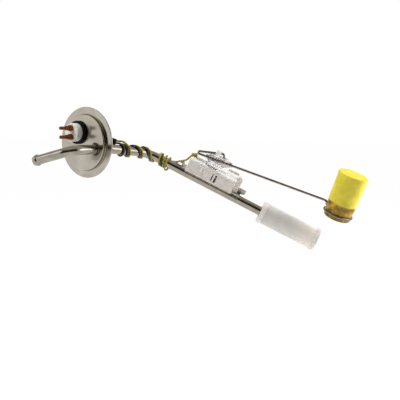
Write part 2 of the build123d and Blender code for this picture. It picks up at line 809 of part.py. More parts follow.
# Rotor: shaft in the tray, notched disc on the cover, fin and post that hold the arm
rotor_bottom = tray_floor + body_clearance
disc_bottom = cover_top + disc_lift
disc_top = disc_bottom + disc_thickness
hub_top = disc_top + hub_height
fin_front = arm_radius + fin_gap
fin_rear = fin_front + fin_thickness
leg_axis = (arm_points[4] - arm_points[3]).normalized()
return_axis = (arm_points[2] - arm_points[1]).normalized()
with BuildPart() as rotor:
    with BuildSketch(mast.offset(rotor_bottom)):
        with Locations((pivot_s, 0)):
            Circle(journal_radius)
    extrude(amount=journal_top - rotor_bottom)
    with BuildSketch(mast.offset(journal_top)):
        with Locations((pivot_s, 0)):
            Circle(shaft_radius)
    extrude(amount=disc_bottom - journal_top)
    with BuildSketch(mast.offset(disc_bottom)):
        with Locations((pivot_s, 0)):
            Circle(disc_radius)
    extrude(amount=disc_thickness)
    with BuildSketch(mast.offset(disc_top)):
        with Locations((pivot_s, 0)):
            Circle(hub_radius)
    extrude(amount=hub_height)
    with BuildSketch(across_mast(fin_rear)):
        with BuildLine():
            Polyline(
                (pivot_s - disc_radius, disc_top), (pivot_s + disc_radius, disc_top), (pivot_s + 18, 28.5),
                (pivot_s + 15.5, 32.1), (pivot_s + 8, 34.4), (post_start, post_bottom + 1.4),
                (pivot_s - 14, 27.6), (pivot_s - 13, 25.5),
                close=True,
            )
        make_face()
    extrude(amount=fin_thickness)
    with BuildSketch(mast.offset(post_bottom)):
        with Locations((post_start + post_width / 2, (fin_rear - post_front) / 2)):
            Rectangle(post_width, fin_rear + post_front)
    extrude(amount=post_top - post_bottom)
    post_edges = rotor.edges().filter_by(
        lambda edge: mast.to_local_coords(edge @ 0.5).Z > post_top - 0.01
    )
    chamfer(post_edges, length=arm_radius * 0.5)
    with BuildSketch(across_mast(fin_front)):
        with Locations((clip_start + clip_length / 2, 30.0)):
            Rectangle(clip_length, 2 * (arm_radius + clip_wall) + 0.8)
    extrude(amount=fin_front + clip_reach)
    with BuildSketch(Plane(origin=arm_points[4], z_dir=-leg_axis)):
        Circle(arm_radius + arm_hole_fit)
    extrude(amount=(arm_points[4] - arm_points[3]).length, mode=Mode.SUBTRACT)
    with BuildSketch(Plane(origin=arm_points[1] - return_axis * 4, z_dir=return_axis)):
        Circle(arm_radius + arm_hole_fit)
    extrude(amount=(arm_points[2] - arm_points[1]).length, mode=Mode.SUBTRACT)
rotor.part.label = "rotor"


# Wiper: spring strip pressed on the shaft, bent down to the card
ring_top = tray_top - body_clearance
wiper_tip = card_bottom + card_thickness + body_clearance
with BuildPart() as wiper_contact:
    with BuildSketch(mast.offset(ring_top - wiper_sheet)):
        with Locations((pivot_s, 0)):
            Circle(wiper_ring_radius)
    extrude(amount=wiper_sheet)
    with BuildSketch(across_mast(wiper_width / 2)):
        with BuildLine():
            Polyline(
                (pivot_s - wiper_ring_radius + 1, ring_top),
                (pivot_s - wiper_ring_radius + 1, ring_top - wiper_sheet),
                (pivot_s - wiper_ring_radius, ring_top - wiper_sheet),
                (pivot_s - wiper_reach, wiper_tip),
                (pivot_s - wiper_reach - wiper_sheet, wiper_tip),
                (pivot_s - wiper_ring_radius - wiper_sheet / 2, ring_top),
                close=True,
            )
        make_face()
    extrude(amount=wiper_width)
    with BuildSketch(mast.offset(ring_top - wiper_sheet)):
        with Locations((pivot_s, 0)):
            Circle(shaft_radius + shaft_fit / 2)
    extrude(amount=wiper_sheet, mode=Mode.SUBTRACT)
wiper_contact.part.label = "wiper_contact"


# Float: tapered foam cylinder turned about its own axis, groove for the ring
groove_radius = ring_radius - arm_radius - groove_clearance
float_section = Plane(origin=ring_plane.origin, x_dir=ring_plane.x_dir, z_dir=-ring_plane.y_dir)
with BuildPart() as float_body:
    with BuildSketch(float_section) as float_profile:
        with BuildLine():
            Polyline(
                (0, -float_foot), (float_foot_radius, -float_foot), (float_foot_radius, -groove_half),
                (groove_radius, -groove_half), (groove_radius, groove_half),
                (float_foot_radius, groove_half), (float_side_radius, float_boundary),
                (float_top_radius, float_height), (0, float_height),
                close=True,
            )
        make_face()
    revolve(axis=Axis(ring_plane.origin, ring_plane.z_dir))
    rims = float_body.edges().filter_by(GeomType.CIRCLE)
    top_rim = rims.filter_by(lambda edge: ring_plane.to_local_coords(edge @ 0).Z > float_height - 0.1)
    foot_rim = rims.filter_by(lambda edge: ring_plane.to_local_coords(edge @ 0).Z < 0.1 - float_foot)
    fillet(top_rim, radius=float_top_round)
    fillet(foot_rim, radius=float_foot_round)
float_body.part.label = "float"


# Strainer: inlet collar, mesh sleeve and end cap, all round the tube's axis
mesh_start = strainer_start + strainer_collar_length
mesh_end = strainer_start + strainer_length - strainer_collar_length
spigot_radius = strainer_radius - strainer_wall - strainer_fit


def make_strainer_end(start, spigot_from, bore_radius):
    """Collar or cap of the strainer with the spigot that the mesh slips over."""
    with BuildPart() as end:
        with BuildSketch(mast_section.offset(start)):
            Circle(strainer_collar_radius)
        extrude(amount=strainer_collar_length)
        fillet(end.edges().filter_by(GeomType.CIRCLE), radius=strainer_round)
        with BuildSketch(mast_section.offset(spigot_from)):
            Circle(spigot_radius)
            Circle(spigot_radius - strainer_round, mode=Mode.SUBTRACT)
        extrude(amount=strainer_spigot)
        if bore_radius:
            with BuildSketch(mast_section.offset(start)):
                Circle(bore_radius)
            extrude(amount=strainer_collar_length, mode=Mode.SUBTRACT)
    return end.part


strainer_inlet = make_strainer_end(strainer_start, mesh_start, tube_radius + tube_fit)
strainer_inlet.label = "strainer_inlet"
strainer_cap = make_strainer_end(mesh_end, mesh_end - strainer_spigot, 0)
strainer_cap.label = "strainer_cap"
with BuildPart() as strainer_mesh:
    with BuildSketch(mast_section.offset(mesh_start)):
        Circle(strainer_radius)
        Circle(strainer_radius - strainer_wall, mode=Mode.SUBTRACT)
    extrude(amount=mesh_end - mesh_start)
strainer_mesh.part.label = "strainer_mesh"


# Rotor notch: the stop on the cover lets the disc turn through its swing
notch_inner = disc_radius - stop_reach
half_stop = (stop_width / 2 + stop_clearance) / notch_inner * 180 / pi
notch_start = 90 - swing - half_stop
notch_span = swing + 2 * half_stop
with BuildPart() as notched_rotor:
    add(rotor.part)
    with BuildSketch(mast.offset(disc_bottom)):
        with BuildLine():
            inner_arc = CenterArc((pivot_s, 0), notch_inner, notch_start, notch_span)
            outer_arc = CenterArc((pivot_s, 0), disc_radius + 1, notch_start, notch_span)
            Line(inner_arc @ 0, outer_arc @ 0)
            Line(inner_arc @ 1, outer_arc @ 1)
        make_face()
    extrude(amount=disc_thickness, mode=Mode.SUBTRACT)
notched_rotor.part.label = "rotor"


sender_parts = [
    flange_plate.part, pickup_tube.part, tube_collar.part, connector_body.part,
    connector_seal.part, signal_pin, ground_pin, wire_sleeve.part, signal_wire, ground_wire,
    mounting_bracket.part, bracket_rivets.part, housing_tray.part, housing_cover.part,
    resistor_card.part, signal_terminal.part, ground_terminal.part,
    strainer_inlet, strainer_mesh.part, strainer_cap,
    notched_rotor.part, wiper_contact.part, float_arm.part, float_body.part,
]
os.makedirs("parts", exist_ok=True)
for piece in sender_parts:
    export_step(piece, f"parts/{piece.label}.step")
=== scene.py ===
from math import acos, cos, pi, radians, sin, tan

import bmesh
import bpy
from mathutils import Matrix, Vector


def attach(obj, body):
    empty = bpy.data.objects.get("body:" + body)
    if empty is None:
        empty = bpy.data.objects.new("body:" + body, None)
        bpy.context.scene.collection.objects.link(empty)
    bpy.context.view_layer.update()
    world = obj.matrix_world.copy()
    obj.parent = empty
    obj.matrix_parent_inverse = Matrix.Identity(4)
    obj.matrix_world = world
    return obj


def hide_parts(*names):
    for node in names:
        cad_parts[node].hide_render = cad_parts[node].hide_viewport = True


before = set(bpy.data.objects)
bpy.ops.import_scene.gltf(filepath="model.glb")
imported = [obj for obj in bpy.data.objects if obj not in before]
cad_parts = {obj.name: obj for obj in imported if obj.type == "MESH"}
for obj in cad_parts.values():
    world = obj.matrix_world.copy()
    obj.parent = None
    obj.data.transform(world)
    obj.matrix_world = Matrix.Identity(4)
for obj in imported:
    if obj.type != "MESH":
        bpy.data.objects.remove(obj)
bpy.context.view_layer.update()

# Sizes in millimetres, as in the part's source; every mesh is scaled to metres at its end
MM = 0.001

# Steps round each kind of piece, and the angle between the points of an arc
ROUND_STEPS = 96
FLOAT_STEPS = 128
TUBE_STEPS = 64
SMALL_STEPS = 48
BARREL_STEPS = 32
WIRE_STEPS = 16
ARC_STEP = radians(4)

# Points closer than the gap are one. Edges below the flat angle go, and past the sharp or the
# dressed angle they stay sharp or are rounded in a few steps. Angles are in degrees.
MERGE_GAP = 0.0005
CAD_MERGE_GAP = 0.002
FLAT_ANGLE = 1
SHARP_ANGLE = 35
DRESSED_ANGLE = 40
EDGE_STEPS = 3

# Flange plate. A list of roundings has one radius for each point of a turned profile, and
# the ring of painted shade, standing in for the step's shade and dark reflection, lies just outside
# the raised centre.
flange_radius = 35.6
sheet = 1.5
plate_radius = 28.0
plate_face = -5.0
step_shade_middle = 0.3
step_shade_half = 0.45
plate_roundings = [0, 0.9, 0.7, 0.5, 0.5, 0.7, 0.9, 0]

# Pickup tube
tube_radius = 4.765
tube_wall = 0.9
tube_fit = 0.05
tube_y = -16.8
tube_z = -6.4
outlet_elbow = Vector((-36.5, tube_y, tube_z))
outlet_turn = 76.0
outlet_droop = 14.5
outlet_length = 44.1
outlet_elbow_radius = 15.0
lead_bend_radius = 60.0
mast_bend_radius = 28.0
tube_lead = 14.0
tube_reach = 170.0
bead_radius = 5.7
bead_width = 3.6
bead_setback = 1.6
collar_radius = 6.7
collar_height = 1.8
collar_slope = 0.9
collar_foot = 0.7
collar_lip = 0.5

# Outlet's open end: how deep its bore goes, its rim, and the rings that shape the bead
bore_depth = 30.0
rim_inside = 0.15
rim_outside = 0.25
rim_corner_along = 0.1
rim_corner_in = 0.08
head_start = 0.35
head_past_bead = 1.0
head_rings = 14

# Mast frame: s along the tube, w across it away from the camera, h above it
mast_corner = Vector((68.5, -21.5, -12.3))
mast_heading = -56.0
mast_slope = 27.3
mast_roll = 13.0

# Connector in the plate
connector_y = 6.9
connector_z = 10.1
connector_radius = 9.15
connector_face = -14.7
neck_radius = 7.0
boss_radius = 8.6
boss_depth = 5.0
seal_radius = 11.7
seal_height = 3.4
pin_spacing = 8.8
pin_radius = 1.7
pin_length = 7.7
pin_collar_radius = 3.0
pin_collar_length = 7.5
pin_step_radius = 2.15
pin_step_length = 3.9
pin_tail_radius = 1.3
pin_tail = 1.5
connector_roundings = [0, 0.9, 0, 0, 0, 0.4, 0.8, 0]
seal_roundings = [0, 0.5, 1.2, 0.6, 0]
pin_roundings = [0, 0.9, 0.3, 0.4, 0.3, 0.8, 0.3, 0, 0.2, 0]

# Leads and their sleeve
wire_radius = 1.0
wire_gap = 0.15
pin_lead = 4.5
pair_offset = wire_radius + wire_gap / 2
wrap_step = 60
sleeve_start = Vector((10.5, 2.5, 7.0))
sleeve_end = Vector((27.5, -13.9, -0.2))
sleeve_big_radius = 4.0
sleeve_small_radius = 3.2
sleeve_margin = 1.5
sleeve_roundings = [0, 0.5, 0.3, 0, 0]
wire_lift = 2.6
lead_order = 3
lead_smoothness = 8
lead_roundness = 4

# Where each lead winds round the tube: (angle, length along the tube, lift off the tube).
# 90 degrees is above the tube, 180 its front, 270 below it, 360 behind it, and so on.
signal_wrap = [
    (90, 33.0, wire_lift), (150, 36.6, 0), (270, 41.0, 0), (390, 45.3, 0), (450, 50.0, 0),
    (630, 60.0, 0), (690, 61.4, 0), (810, 63.8, 0), (870, 66.4, 0), (930, 70.4, 0),
    (990, 75.3, 0), (1110, 78.6, 0), (1170, 80.0, 0), (1230, 80.0, 0), (1350, 84.0, 0),
    (1470, 85.8, 0.2), (1530, 87.0, 1.0), (1590, 85.4, 0), (1710, 88.6, 0), (1830, 90.6, 0),
    (1890, 91.2, 0.3), (1950, 88.9, 0), (2010, 89.2, 0), (2070, 91.6, 2.4), (2130, 94.0, 0.6),
]
ground_wrap = [
    (90, 28.6, 0), (150, 29.4, 0), (330, 30.0, 0), (450, 31.8, 0), (570, 35.4, 0), (630, 38.0, 0),
    (750, 42.5, 0), (810, 47.0, 0), (990, 57.0, 0), (1050, 58.2, 0), (1170, 60.4, 0),
    (1230, 63.0, 0), (1290, 66.8, 0), (1350, 71.8, 0), (1410, 75.4, wire_lift),
    (1470, 79.6, wire_lift), (1530, 82.5, 0), (1590, 82.4, 0), (1710, 86.2, 0),
    (1770, 86.9, 1.0),
]

# Heights on the mast
bracket_start = 38.5
bracket_top = 6.015
housing_start = 43.2
housing_skew = 6.2
tray_top = bracket_top + 12.2
cover_top = tray_top + 2.2
lug_sheet = 0.8
barrel_wall = 0.6
barrel_length = 4.6
barrel_slope = 28.0
barrel_lead = 2.4
barrel_lift = 0.8
terminal_sleeve_gap = 0.03
terminal_sleeve_wall = 0.3
terminal_sleeve_lead = 1.6
terminal_sleeve_roundings = [0, 0.4, 0.4, 0, 0]
ground_barrel_w = 3.1
ground_barrel_rise = 1.9
ground_barrel_gap = 0.2

# Where each lead leaves the tube for its terminal, in the mast's frame
barrel_start = Vector((
    housing_start + housing_skew / 2 - barrel_lead, 0, cover_top + barrel_lift
))
barrel_way = Vector((cos(radians(barrel_slope)), 0, sin(radians(barrel_slope))))
signal_tail = [
    (28.6, 6.7, 0.6), (30.6, 4.8, 4.0), (33.8, -0.2, 7.8), (37.3, -0.4, 10.5), (40.1, -0.2, 13.2),
    (41.6, 0, 17.2), barrel_start - barrel_way, barrel_start + barrel_way * (barrel_length / 2),
]
ground_barrel_h = bracket_top + ground_barrel_rise
ground_barrel_end = bracket_start - lug_sheet - ground_barrel_gap
ground_tail = [
    (23.2, 9.2, 0.6), (28.0, 9.5, 1.2), (32.4, 7.8, 4.0), (34.0, ground_barrel_w, ground_barrel_h),
    (ground_barrel_end, ground_barrel_w, ground_barrel_h),
]

# Float arm and float. The arm's corners are (s, w, h) on the mast. Round the float it passes
# ring_places: (distance from the float's axis, lift), one every ring_step degrees.
arm_radius = 1.2
arm_corners = [
    (74.4, 0, 33.4), (72.2, 0, 37.3), (47.6, 0, 27.9), (47.6, 0, 25.1), (189.6, 0, 44.0),
]
arm_bends = [1.8, 1.4, 1.4, 4.0, 7.0]
ring_radius = 14.8
ring_bend_share = 0.98
ring_first_angle = 140
ring_step = 45
ring_places = [
    (18.0, 1.2), (16.2, 0), (16, 0), (16, 0), (16, 0), (16, 0), (16, 0), (16.6, 0), (16.6, 0),
]
ring_last_share = 0.5
float_s = 206.6
float_h = 37.7
float_lean = 8.4
float_top_radius = 15.9
float_side_radius = 15.1
float_foot_radius = 14.3
float_height = 44.6
float_boundary = 12.3
float_foot = 5.3
groove_half = 1.35
groove_radius = 13.5
float_roundings = [0, 2.4, 0.2, 0.2, 0.2, 0.3, 6.0, 0.8, 0]

# The fuel stain is full this far below the boundary and gone this far above it
stain_below = 0.2
stain_above = 2.4
stain_waver = 2.0

# Strainer; past the share of its length set below, the weave is painted lighter and warmer towards
# its free end, as painted light
strainer_start = 134.6
strainer_length = 66.8
strainer_radius = 11.4
strainer_wall = 0.7
strainer_collar_radius = 12.3
strainer_collar_length = 4.4
strainer_rounding = 0.8
thread_spacing = 0.6
painted_light_share = 0.4

# Camera, fitted to the photograph: place, direction and lens
camera_place = Vector((-532.14, -543.22, 22.15))
camera_forward = Vector((0.79411, 0.59841, -0.10626))
camera_up = Vector((0.08487, 0.06395, 0.99434))
camera_lens = 67.14
sensor_width = 36.0
nearest_seen_m = 0.01
farthest_seen_m = 50.0
view_centre = Vector((70.0, -40.0, -25.0))

# Studio: floor, and walls that the metal reflects. The wall's profile is (share of its
# distance, height) and its tones are (height, colour), from its foot to its top.
floor_half = 6000
floor_height = -190
floor_white = 0.94
white_glow = 1.03
ambient_strength = 0.45
wall_distance = 1500.0
wall_sweep = 104.0
wall_profile = [(0.42, -165), (1.0, -165), (1.0, 400), (0.95, 900), (0.8, 1350)]
wall_steps = 24
wall_tones = [
    (-165, "#9A9388"), (0, "#14110D"), (400, "#1C1813"), (760, "#4A443A"), (1100, "#8C857A"),
    (1350, "#B0A99D"),
]
ceiling_height = 1400.0
ceiling_radius = 2300.0
ceiling_steps = 48
ceiling_tone = "#D2CBC0"
card_tone = "#FFFFFF"


def unit_from(heading, slope):
    """Unit vector at a heading about Z, pointing down by slope."""
    level = Vector((1, 0, 0))
    lowered = Matrix.Rotation(radians(slope), 3, "Y") @ level
    return Matrix.Rotation(radians(heading), 3, "Z") @ lowered


mast_axis = unit_from(mast_heading, mast_slope)
level_side = Vector((0, 0, 1)).cross(mast_axis).normalized()
level_up = mast_axis.cross(level_side)
mast_up = level_up * cos(radians(mast_roll)) - level_side * sin(radians(mast_roll))
mast_side = mast_up.cross(mast_axis)
outlet_direction = unit_from(180 - outlet_turn, outlet_droop)
outlet_tip = outlet_elbow + outlet_direction * outlet_length
plate_crossing = Vector((0, tube_y, tube_z))
lead_corner = Vector((tube_lead, tube_y, tube_z))


def on_mast(s, w, h):
    """Point in the mast's frame."""
    return mast_corner + mast_axis * s + mast_side * w + mast_up * h


tube_end = on_mast(tube_reach, 0, 0)
ring_centre = on_mast(float_s, 0, float_h)
ring_x = mast_axis * cos(radians(float_lean)) + mast_up * sin(radians(float_lean))
float_axis = mast_up * cos(radians(float_lean)) - mast_axis * sin(radians(float_lean))


def on_ring(x, y, z):
    """Point in the frame of the float's ring; z runs up the float."""
    return ring_centre + ring_x * x + mast_side * y + float_axis * z


def rounded(points, radii):
    """The points with an arc of the given radius in place of each inner corner."""
    line = [points[0].copy()]
    for before, corner, after, radius in zip(points, points[1:], points[2:], radii):
        arriving = (corner - before).normalized()
        leaving = (after - corner).normalized()
        turn = acos(max(-1.0, min(1.0, arriving.dot(leaving))))
        if turn < 0.001 or radius <= 0:
            line.append(corner.copy())
            continue
        reach = radius * tan(turn / 2)
        start = corner - arriving * reach
        inward = (leaving - arriving * arriving.dot(leaving)).normalized()
        count = max(2, int(turn / ARC_STEP))
        for number in range(count + 1):
            angle = turn * number / count
            along = arriving * (radius * sin(angle))
            line.append(start + along + inward * (radius * (1 - cos(angle))))
    line.append(points[-1].copy())
    return line


def place_along(line, length):
    """Point and direction at a length along a line of points."""
    for before, after in zip(line, line[1:]):
        run = (after - before).length
        if length <= run:
            return before.lerp(after, length / run), (after - before).normalized()
        length -= run
    direction = (line[-1] - line[-2]).normalized()
    return line[-1] + direction * length, direction


def stations(line):
    """One matrix at each point of a line: Z follows the line and X turns as little as it can."""
    frames = []
    across = None
    for number, point in enumerate(line):
        before = line[max(number - 1, 0)]
        after = line[min(number + 1, len(line) - 1)]
        ahead = (after - before).normalized()
        if across is None:
            across = ahead.orthogonal()
        across = (across - ahead * across.dot(ahead)).normalized()
        side = ahead.cross(across)
        turned = Matrix((across, side, ahead)).transposed().to_4x4()
        frames.append(Matrix.Translation(point) @ turned)
    return frames


def add_pipe(bm, rings, steps):
    """Skin through circles, closed at both ends; each ring is a matrix and a radius."""
    first_matrix, first_radius = rings[0]
    made = bmesh.ops.create_circle(bm, segments=steps, radius=1.0)
    circle = made["verts"]
    unit = [vert.co.copy() for vert in circle]
    for vert, spot in zip(circle, unit):
        vert.co = first_matrix @ (spot * first_radius)
    first = list(circle)
    for matrix, radius in rings[1:]:
        edges = {edge for vert in circle for edge in vert.link_edges}
        loop = [edge for edge in edges if all(vert in circle for vert in edge.verts)]
        grown = bmesh.ops.extrude_edge_only(bm, edges=loop)["geom"]
        fresh = [item for item in grown if isinstance(item, bmesh.types.BMVert)]
        paired = {}
        for vert in fresh:
            for edge in vert.link_edges:
                other = edge.other_vert(vert)
                if other in circle:
                    paired[other] = vert
        circle = [paired[vert] for vert in circle]
        for vert, spot in zip(circle, unit):
            vert.co = matrix @ (spot * radius)
    bmesh.ops.contextual_create(bm, geom=first)
    bmesh.ops.contextual_create(bm, geom=circle)


def add_turned(bm, profile, origin, axis, steps=ROUND_STEPS):
    """Profile of (radius, along) points turned about an axis; for a ring it ends at its start."""
    across = axis.orthogonal().normalized()
    closed = (Vector(profile[0]) - Vector(profile[-1])).length < MERGE_GAP
    spots = profile[:-1] if closed else profile
    verts = [bm.verts.new(origin + across * r + axis * a) for r, a in spots]
    ends = verts[1:] + verts[:1] if closed else verts[1:]
    edges = [bm.edges.new(pair) for pair in zip(verts, ends)]
    bmesh.ops.spin(
        bm, geom=verts + edges, cent=origin, axis=axis, angle=2 * pi,
        steps=steps, use_merge=True, use_duplicate=False,
    )
    bmesh.ops.remove_doubles(bm, verts=bm.verts[:], dist=MERGE_GAP)
    bmesh.ops.recalc_face_normals(bm, faces=bm.faces[:])


def soften(profile, radii):
    """Profile with rounded corners; one radius for each point, 0 keeps it sharp."""
    points = [Vector((r, a, 0)) for r, a in profile]
    return [(p.x, p.y) for p in rounded(points, radii[1:-1])]


def close_mesh(bm, name, sharp=SHARP_ANGLE):
    """Mesh in metres from a bmesh in millimetres, smooth but for its sharp edges."""
    bmesh.ops.recalc_face_normals(bm, faces=bm.faces[:])
    bmesh.ops.scale(bm, vec=(MM, MM, MM), verts=bm.verts[:])
    mesh = bpy.data.meshes.new(name)
    bm.to_mesh(mesh)
    bm.free()
    mesh.polygons.foreach_set("use_smooth", [True] * len(mesh.polygons))
    mesh.set_sharp_from_angle(angle=radians(sharp))
    return mesh


def settle(mesh, material, body, slot, *nodes):
    """Object from a mesh, with its finish, body and the CAD nodes that it stands for."""
    piece = bpy.data.objects.new(mesh.name, mesh)
    bpy.context.scene.collection.objects.link(piece)
    mesh.materials.clear()
    mesh.materials.append(material)
    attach(piece, body)
    if nodes:
        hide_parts(*nodes)
    return piece


# Materials

def linear(code):
    """Linear colour from an sRGB hex code."""
    parts = [int(code[n:n + 2], 16) / 255 for n in (1, 3, 5)]
    shares = [p / 12.92 if p <= 0.04045 else ((p + 0.055) / 1.055) ** 2.4 for p in parts]
    return (*shares, 1.0)


def per_metre(size_mm):
    """Scale of a pattern whose features are about this many millimetres across."""
    return 1 / (size_mm * MM)


def add_node(tree, kind, settings=None, values=None, links=None, feeds=None, stops=()):
    """Node with its settings, input values, links in and out, and (position, hex) ramp stops."""
    node = tree.nodes.new(kind)
    for name, value in (settings or {}).items():
        setattr(node, name, value)
    for name, value in (values or {}).items():
        node.inputs[name].default_value = value
    for name, socket in (links or {}).items():
        tree.links.new(socket, node.inputs[name])
    for name, socket in (feeds or {}).items():
        tree.links.new(node.outputs[name], socket)
    if stops:
        elements = node.color_ramp.elements
        while len(elements) < len(stops):
            elements.new(0.5)
        for element, (position, code) in zip(elements, stops):
            element.position = position
            element.color = linear(code)
    return node


def start_material(name, code, values):
    """Material with a Principled shader, its tree, shader and Object coordinates."""
    material = bpy.data.materials.new(name)
    material.use_nodes = True
    tree = material.node_tree
    tree.nodes.clear()
    shader = add_node(
        tree, "ShaderNodeBsdfPrincipled", values={"Base Color": linear(code), **values}
    )
    add_node(tree, "ShaderNodeOutputMaterial", links={"Surface": shader.outputs["BSDF"]})
    place = add_node(tree, "ShaderNodeTexCoord").outputs["Object"]
    return material, tree, shader, place


def stamped_nickel_steel():
    """Nickel-plated steel sheet, stamped and then barrel polished.

    It gives a warm grey with faint clouds, a fine grain that softens what it reflects, and a
    dull line of painted shade in the step round the raised centre, standing in for the step's shade
    and dark reflection.
    """
    material, tree, shader, place = start_material(
        "stamped_nickel_steel", "#B4ADA2", {"Metallic": 1.0, "Roughness": 0.2}
    )
    patches = add_node(
        tree, "ShaderNodeTexNoise", values={"Scale": per_metre(14.0), "Detail": 3.0},
        links={"Vector": place},
    )
    cloud = add_node(
        tree, "ShaderNodeValToRGB", stops=[(0.3, "#AAA397"), (0.7, "#BBB6AA")],
        links={"Fac": patches.outputs["Fac"]},
    )
    across_plate = add_node(
        tree, "ShaderNodeVectorMath", {"operation": "MULTIPLY"}, {1: (0, 1, 1)}, {0: place}
    )
    radius = add_node(
        tree, "ShaderNodeVectorMath", {"operation": "LENGTH"},
        links={0: across_plate.outputs["Vector"]},
    )
    # Painted shade: a darker ring in the step round the raised centre stands in for the step's shade
    # and dark reflection
    step_shade_mask = add_node(
        tree, "ShaderNodeMath", {"operation": "COMPARE"},
        values={1: (plate_radius + step_shade_middle) * MM, 2: step_shade_half * MM},
        links={0: radius.outputs["Value"]},
    )
    add_node(
        tree, "ShaderNodeMix", {"data_type": "RGBA"}, values={7: linear("#8F8877")},
        links={"Factor": step_shade_mask.outputs["Value"], 6: cloud.outputs["Color"]},
        feeds={2: shader.inputs["Base Color"]},
    )
    grain = add_node(
        tree, "ShaderNodeTexNoise", values={"Scale": per_metre(1.2), "Detail": 5.0},
        links={"Vector": place},
    )
    add_node(
        tree, "ShaderNodeMapRange", values={"To Min": 0.13, "To Max": 0.24},
        links={"Value": grain.outputs["Fac"]}, feeds={"Result": shader.inputs["Roughness"]},
    )
    add_node(
        tree, "ShaderNodeBump", values={"Strength": 0.4, "Distance": 0.01 * MM},
        links={"Height": grain.outputs["Fac"]}, feeds={"Normal": shader.inputs["Normal"]},
    )
    return material


def drawn_tube_steel():
    """Nickel-plated steel tube, cold drawn.

    Drawing leaves it smoother than the plate, so it gives clear, bright streaks of light.
    """
    material, tree, shader, place = start_material(
        "drawn_tube_steel", "#9E978E", {"Metallic": 1.0, "Roughness": 0.14}
    )
    cloud = add_node(
        tree, "ShaderNodeTexNoise", values={"Scale": per_metre(9.0), "Detail": 3.0},
        links={"Vector": place},
    )
    add_node(
        tree, "ShaderNodeValToRGB", stops=[(0.3, "#948C80"), (0.7, "#A8A198")],
        links={"Fac": cloud.outputs["Fac"]}, feeds={"Color": shader.inputs["Base Color"]},
    )
    grain = add_node(
        tree, "ShaderNodeTexNoise", values={"Scale": per_metre(0.8), "Detail": 4.0},
        links={"Vector": place},
    )
    add_node(
        tree, "ShaderNodeMapRange", values={"To Min": 0.1, "To Max": 0.2},
        links={"Value": grain.outputs["Fac"]}, feeds={"Result": shader.inputs["Roughness"]},
    )
    add_node(
        tree, "ShaderNodeBump", values={"Strength": 0.3, "Distance": 0.006 * MM},
        links={"Height": grain.outputs["Fac"]}, feeds={"Normal": shader.inputs["Normal"]},
    )
    return material


def brazed_joint():
    """Braze metal, flame run round the tube and scorched by its flux.

    It gives a dark, rough ring in spots of brown and black.
    """
    material, tree, shader, place = start_material(
        "brazed_joint", "#5B5344", {"Metallic": 0.9, "Roughness": 0.45}
    )
    spots = add_node(
        tree, "ShaderNodeTexNoise", values={"Scale": per_metre(1.4), "Detail": 5.0},
        links={"Vector": place},
    )
    add_node(
        tree, "ShaderNodeValToRGB", stops=[(0.38, "#1C1711"), (0.62, "#6E6655")],
        links={"Fac": spots.outputs["Fac"]}, feeds={"Color": shader.inputs["Base Color"]},
    )
    add_node(
        tree, "ShaderNodeBump", values={"Strength": 1.0, "Distance": 0.15 * MM},
        links={"Height": spots.outputs["Fac"]}, feeds={"Normal": shader.inputs["Normal"]},
    )
    return material


def bracket_steel():
    """Zinc-plated steel strip, cut and bent.

    The plating gives a dull grey-green with a broad, soft shine.
    """
    material, tree, shader, place = start_material(
        "bracket_steel", "#A6A599", {"Metallic": 1.0, "Roughness": 0.36}
    )
    cloud = add_node(
        tree, "ShaderNodeTexNoise", values={"Scale": per_metre(5.0), "Detail": 3.0},
        links={"Vector": place},
    )
    add_node(
        tree, "ShaderNodeValToRGB", stops=[(0.3, "#97968A"), (0.7, "#B4B3A8")],
        links={"Fac": cloud.outputs["Fac"]}, feeds={"Color": shader.inputs["Base Color"]},
    )
    grain = add_node(
        tree, "ShaderNodeTexNoise", values={"Scale": per_metre(0.7), "Detail": 4.0},
        links={"Vector": place},
    )
    add_node(
        tree, "ShaderNodeBump", values={"Strength": 0.4, "Distance": 0.01 * MM},
        links={"Height": grain.outputs["Fac"]}, feeds={"Normal": shader.inputs["Normal"]},
    )
    return material


def spring_wire_steel():
    """Spring steel wire, drawn, bent and oiled.

    The oil darkens it, so it gives thin bright lines on a brown-grey wire.
    """
    material, tree, shader, place = start_material(
        "spring_wire_steel", "#827970", {"Metallic": 1.0, "Roughness": 0.16}
    )
    cloud = add_node(
        tree, "ShaderNodeTexNoise", values={"Scale": per_metre(6.0), "Detail": 3.0},
        links={"Vector": place},
    )
    add_node(
        tree, "ShaderNodeValToRGB", stops=[(0.3, "#736A62"), (0.7, "#938A81")],
        links={"Fac": cloud.outputs["Fac"]}, feeds={"Color": shader.inputs["Base Color"]},
    )
    grain = add_node(
        tree, "ShaderNodeTexNoise", values={"Scale": per_metre(0.6), "Detail": 4.0},
        links={"Vector": place},
    )
    add_node(
        tree, "ShaderNodeBump", values={"Strength": 0.4, "Distance": 0.006 * MM},
        links={"Height": grain.outputs["Fac"]}, feeds={"Normal": shader.inputs["Normal"]},
    )
    return material


def tarnished_copper():
    """Copper, turned and left to tarnish.

    It gives a dark red-brown that is worn brighter in spots.
    """
    material, tree, shader, place = start_material(
        "tarnished_copper", "#7A3A20", {"Metallic": 0.9, "Roughness": 0.34}
    )
    spots = add_node(
        tree, "ShaderNodeTexNoise", values={"Scale": per_metre(1.1), "Detail": 4.0},
        links={"Vector": place},
    )
    add_node(
        tree, "ShaderNodeValToRGB",
        stops=[(0.3, "#552B19"), (0.55, "#82482D"), (0.75, "#AA7252")],
        links={"Fac": spots.outputs["Fac"]}, feeds={"Color": shader.inputs["Base Color"]},
    )
    add_node(
        tree, "ShaderNodeBump", values={"Strength": 0.5, "Distance": 0.03 * MM},
        links={"Height": spots.outputs["Fac"]}, feeds={"Normal": shader.inputs["Normal"]},
    )
    return material


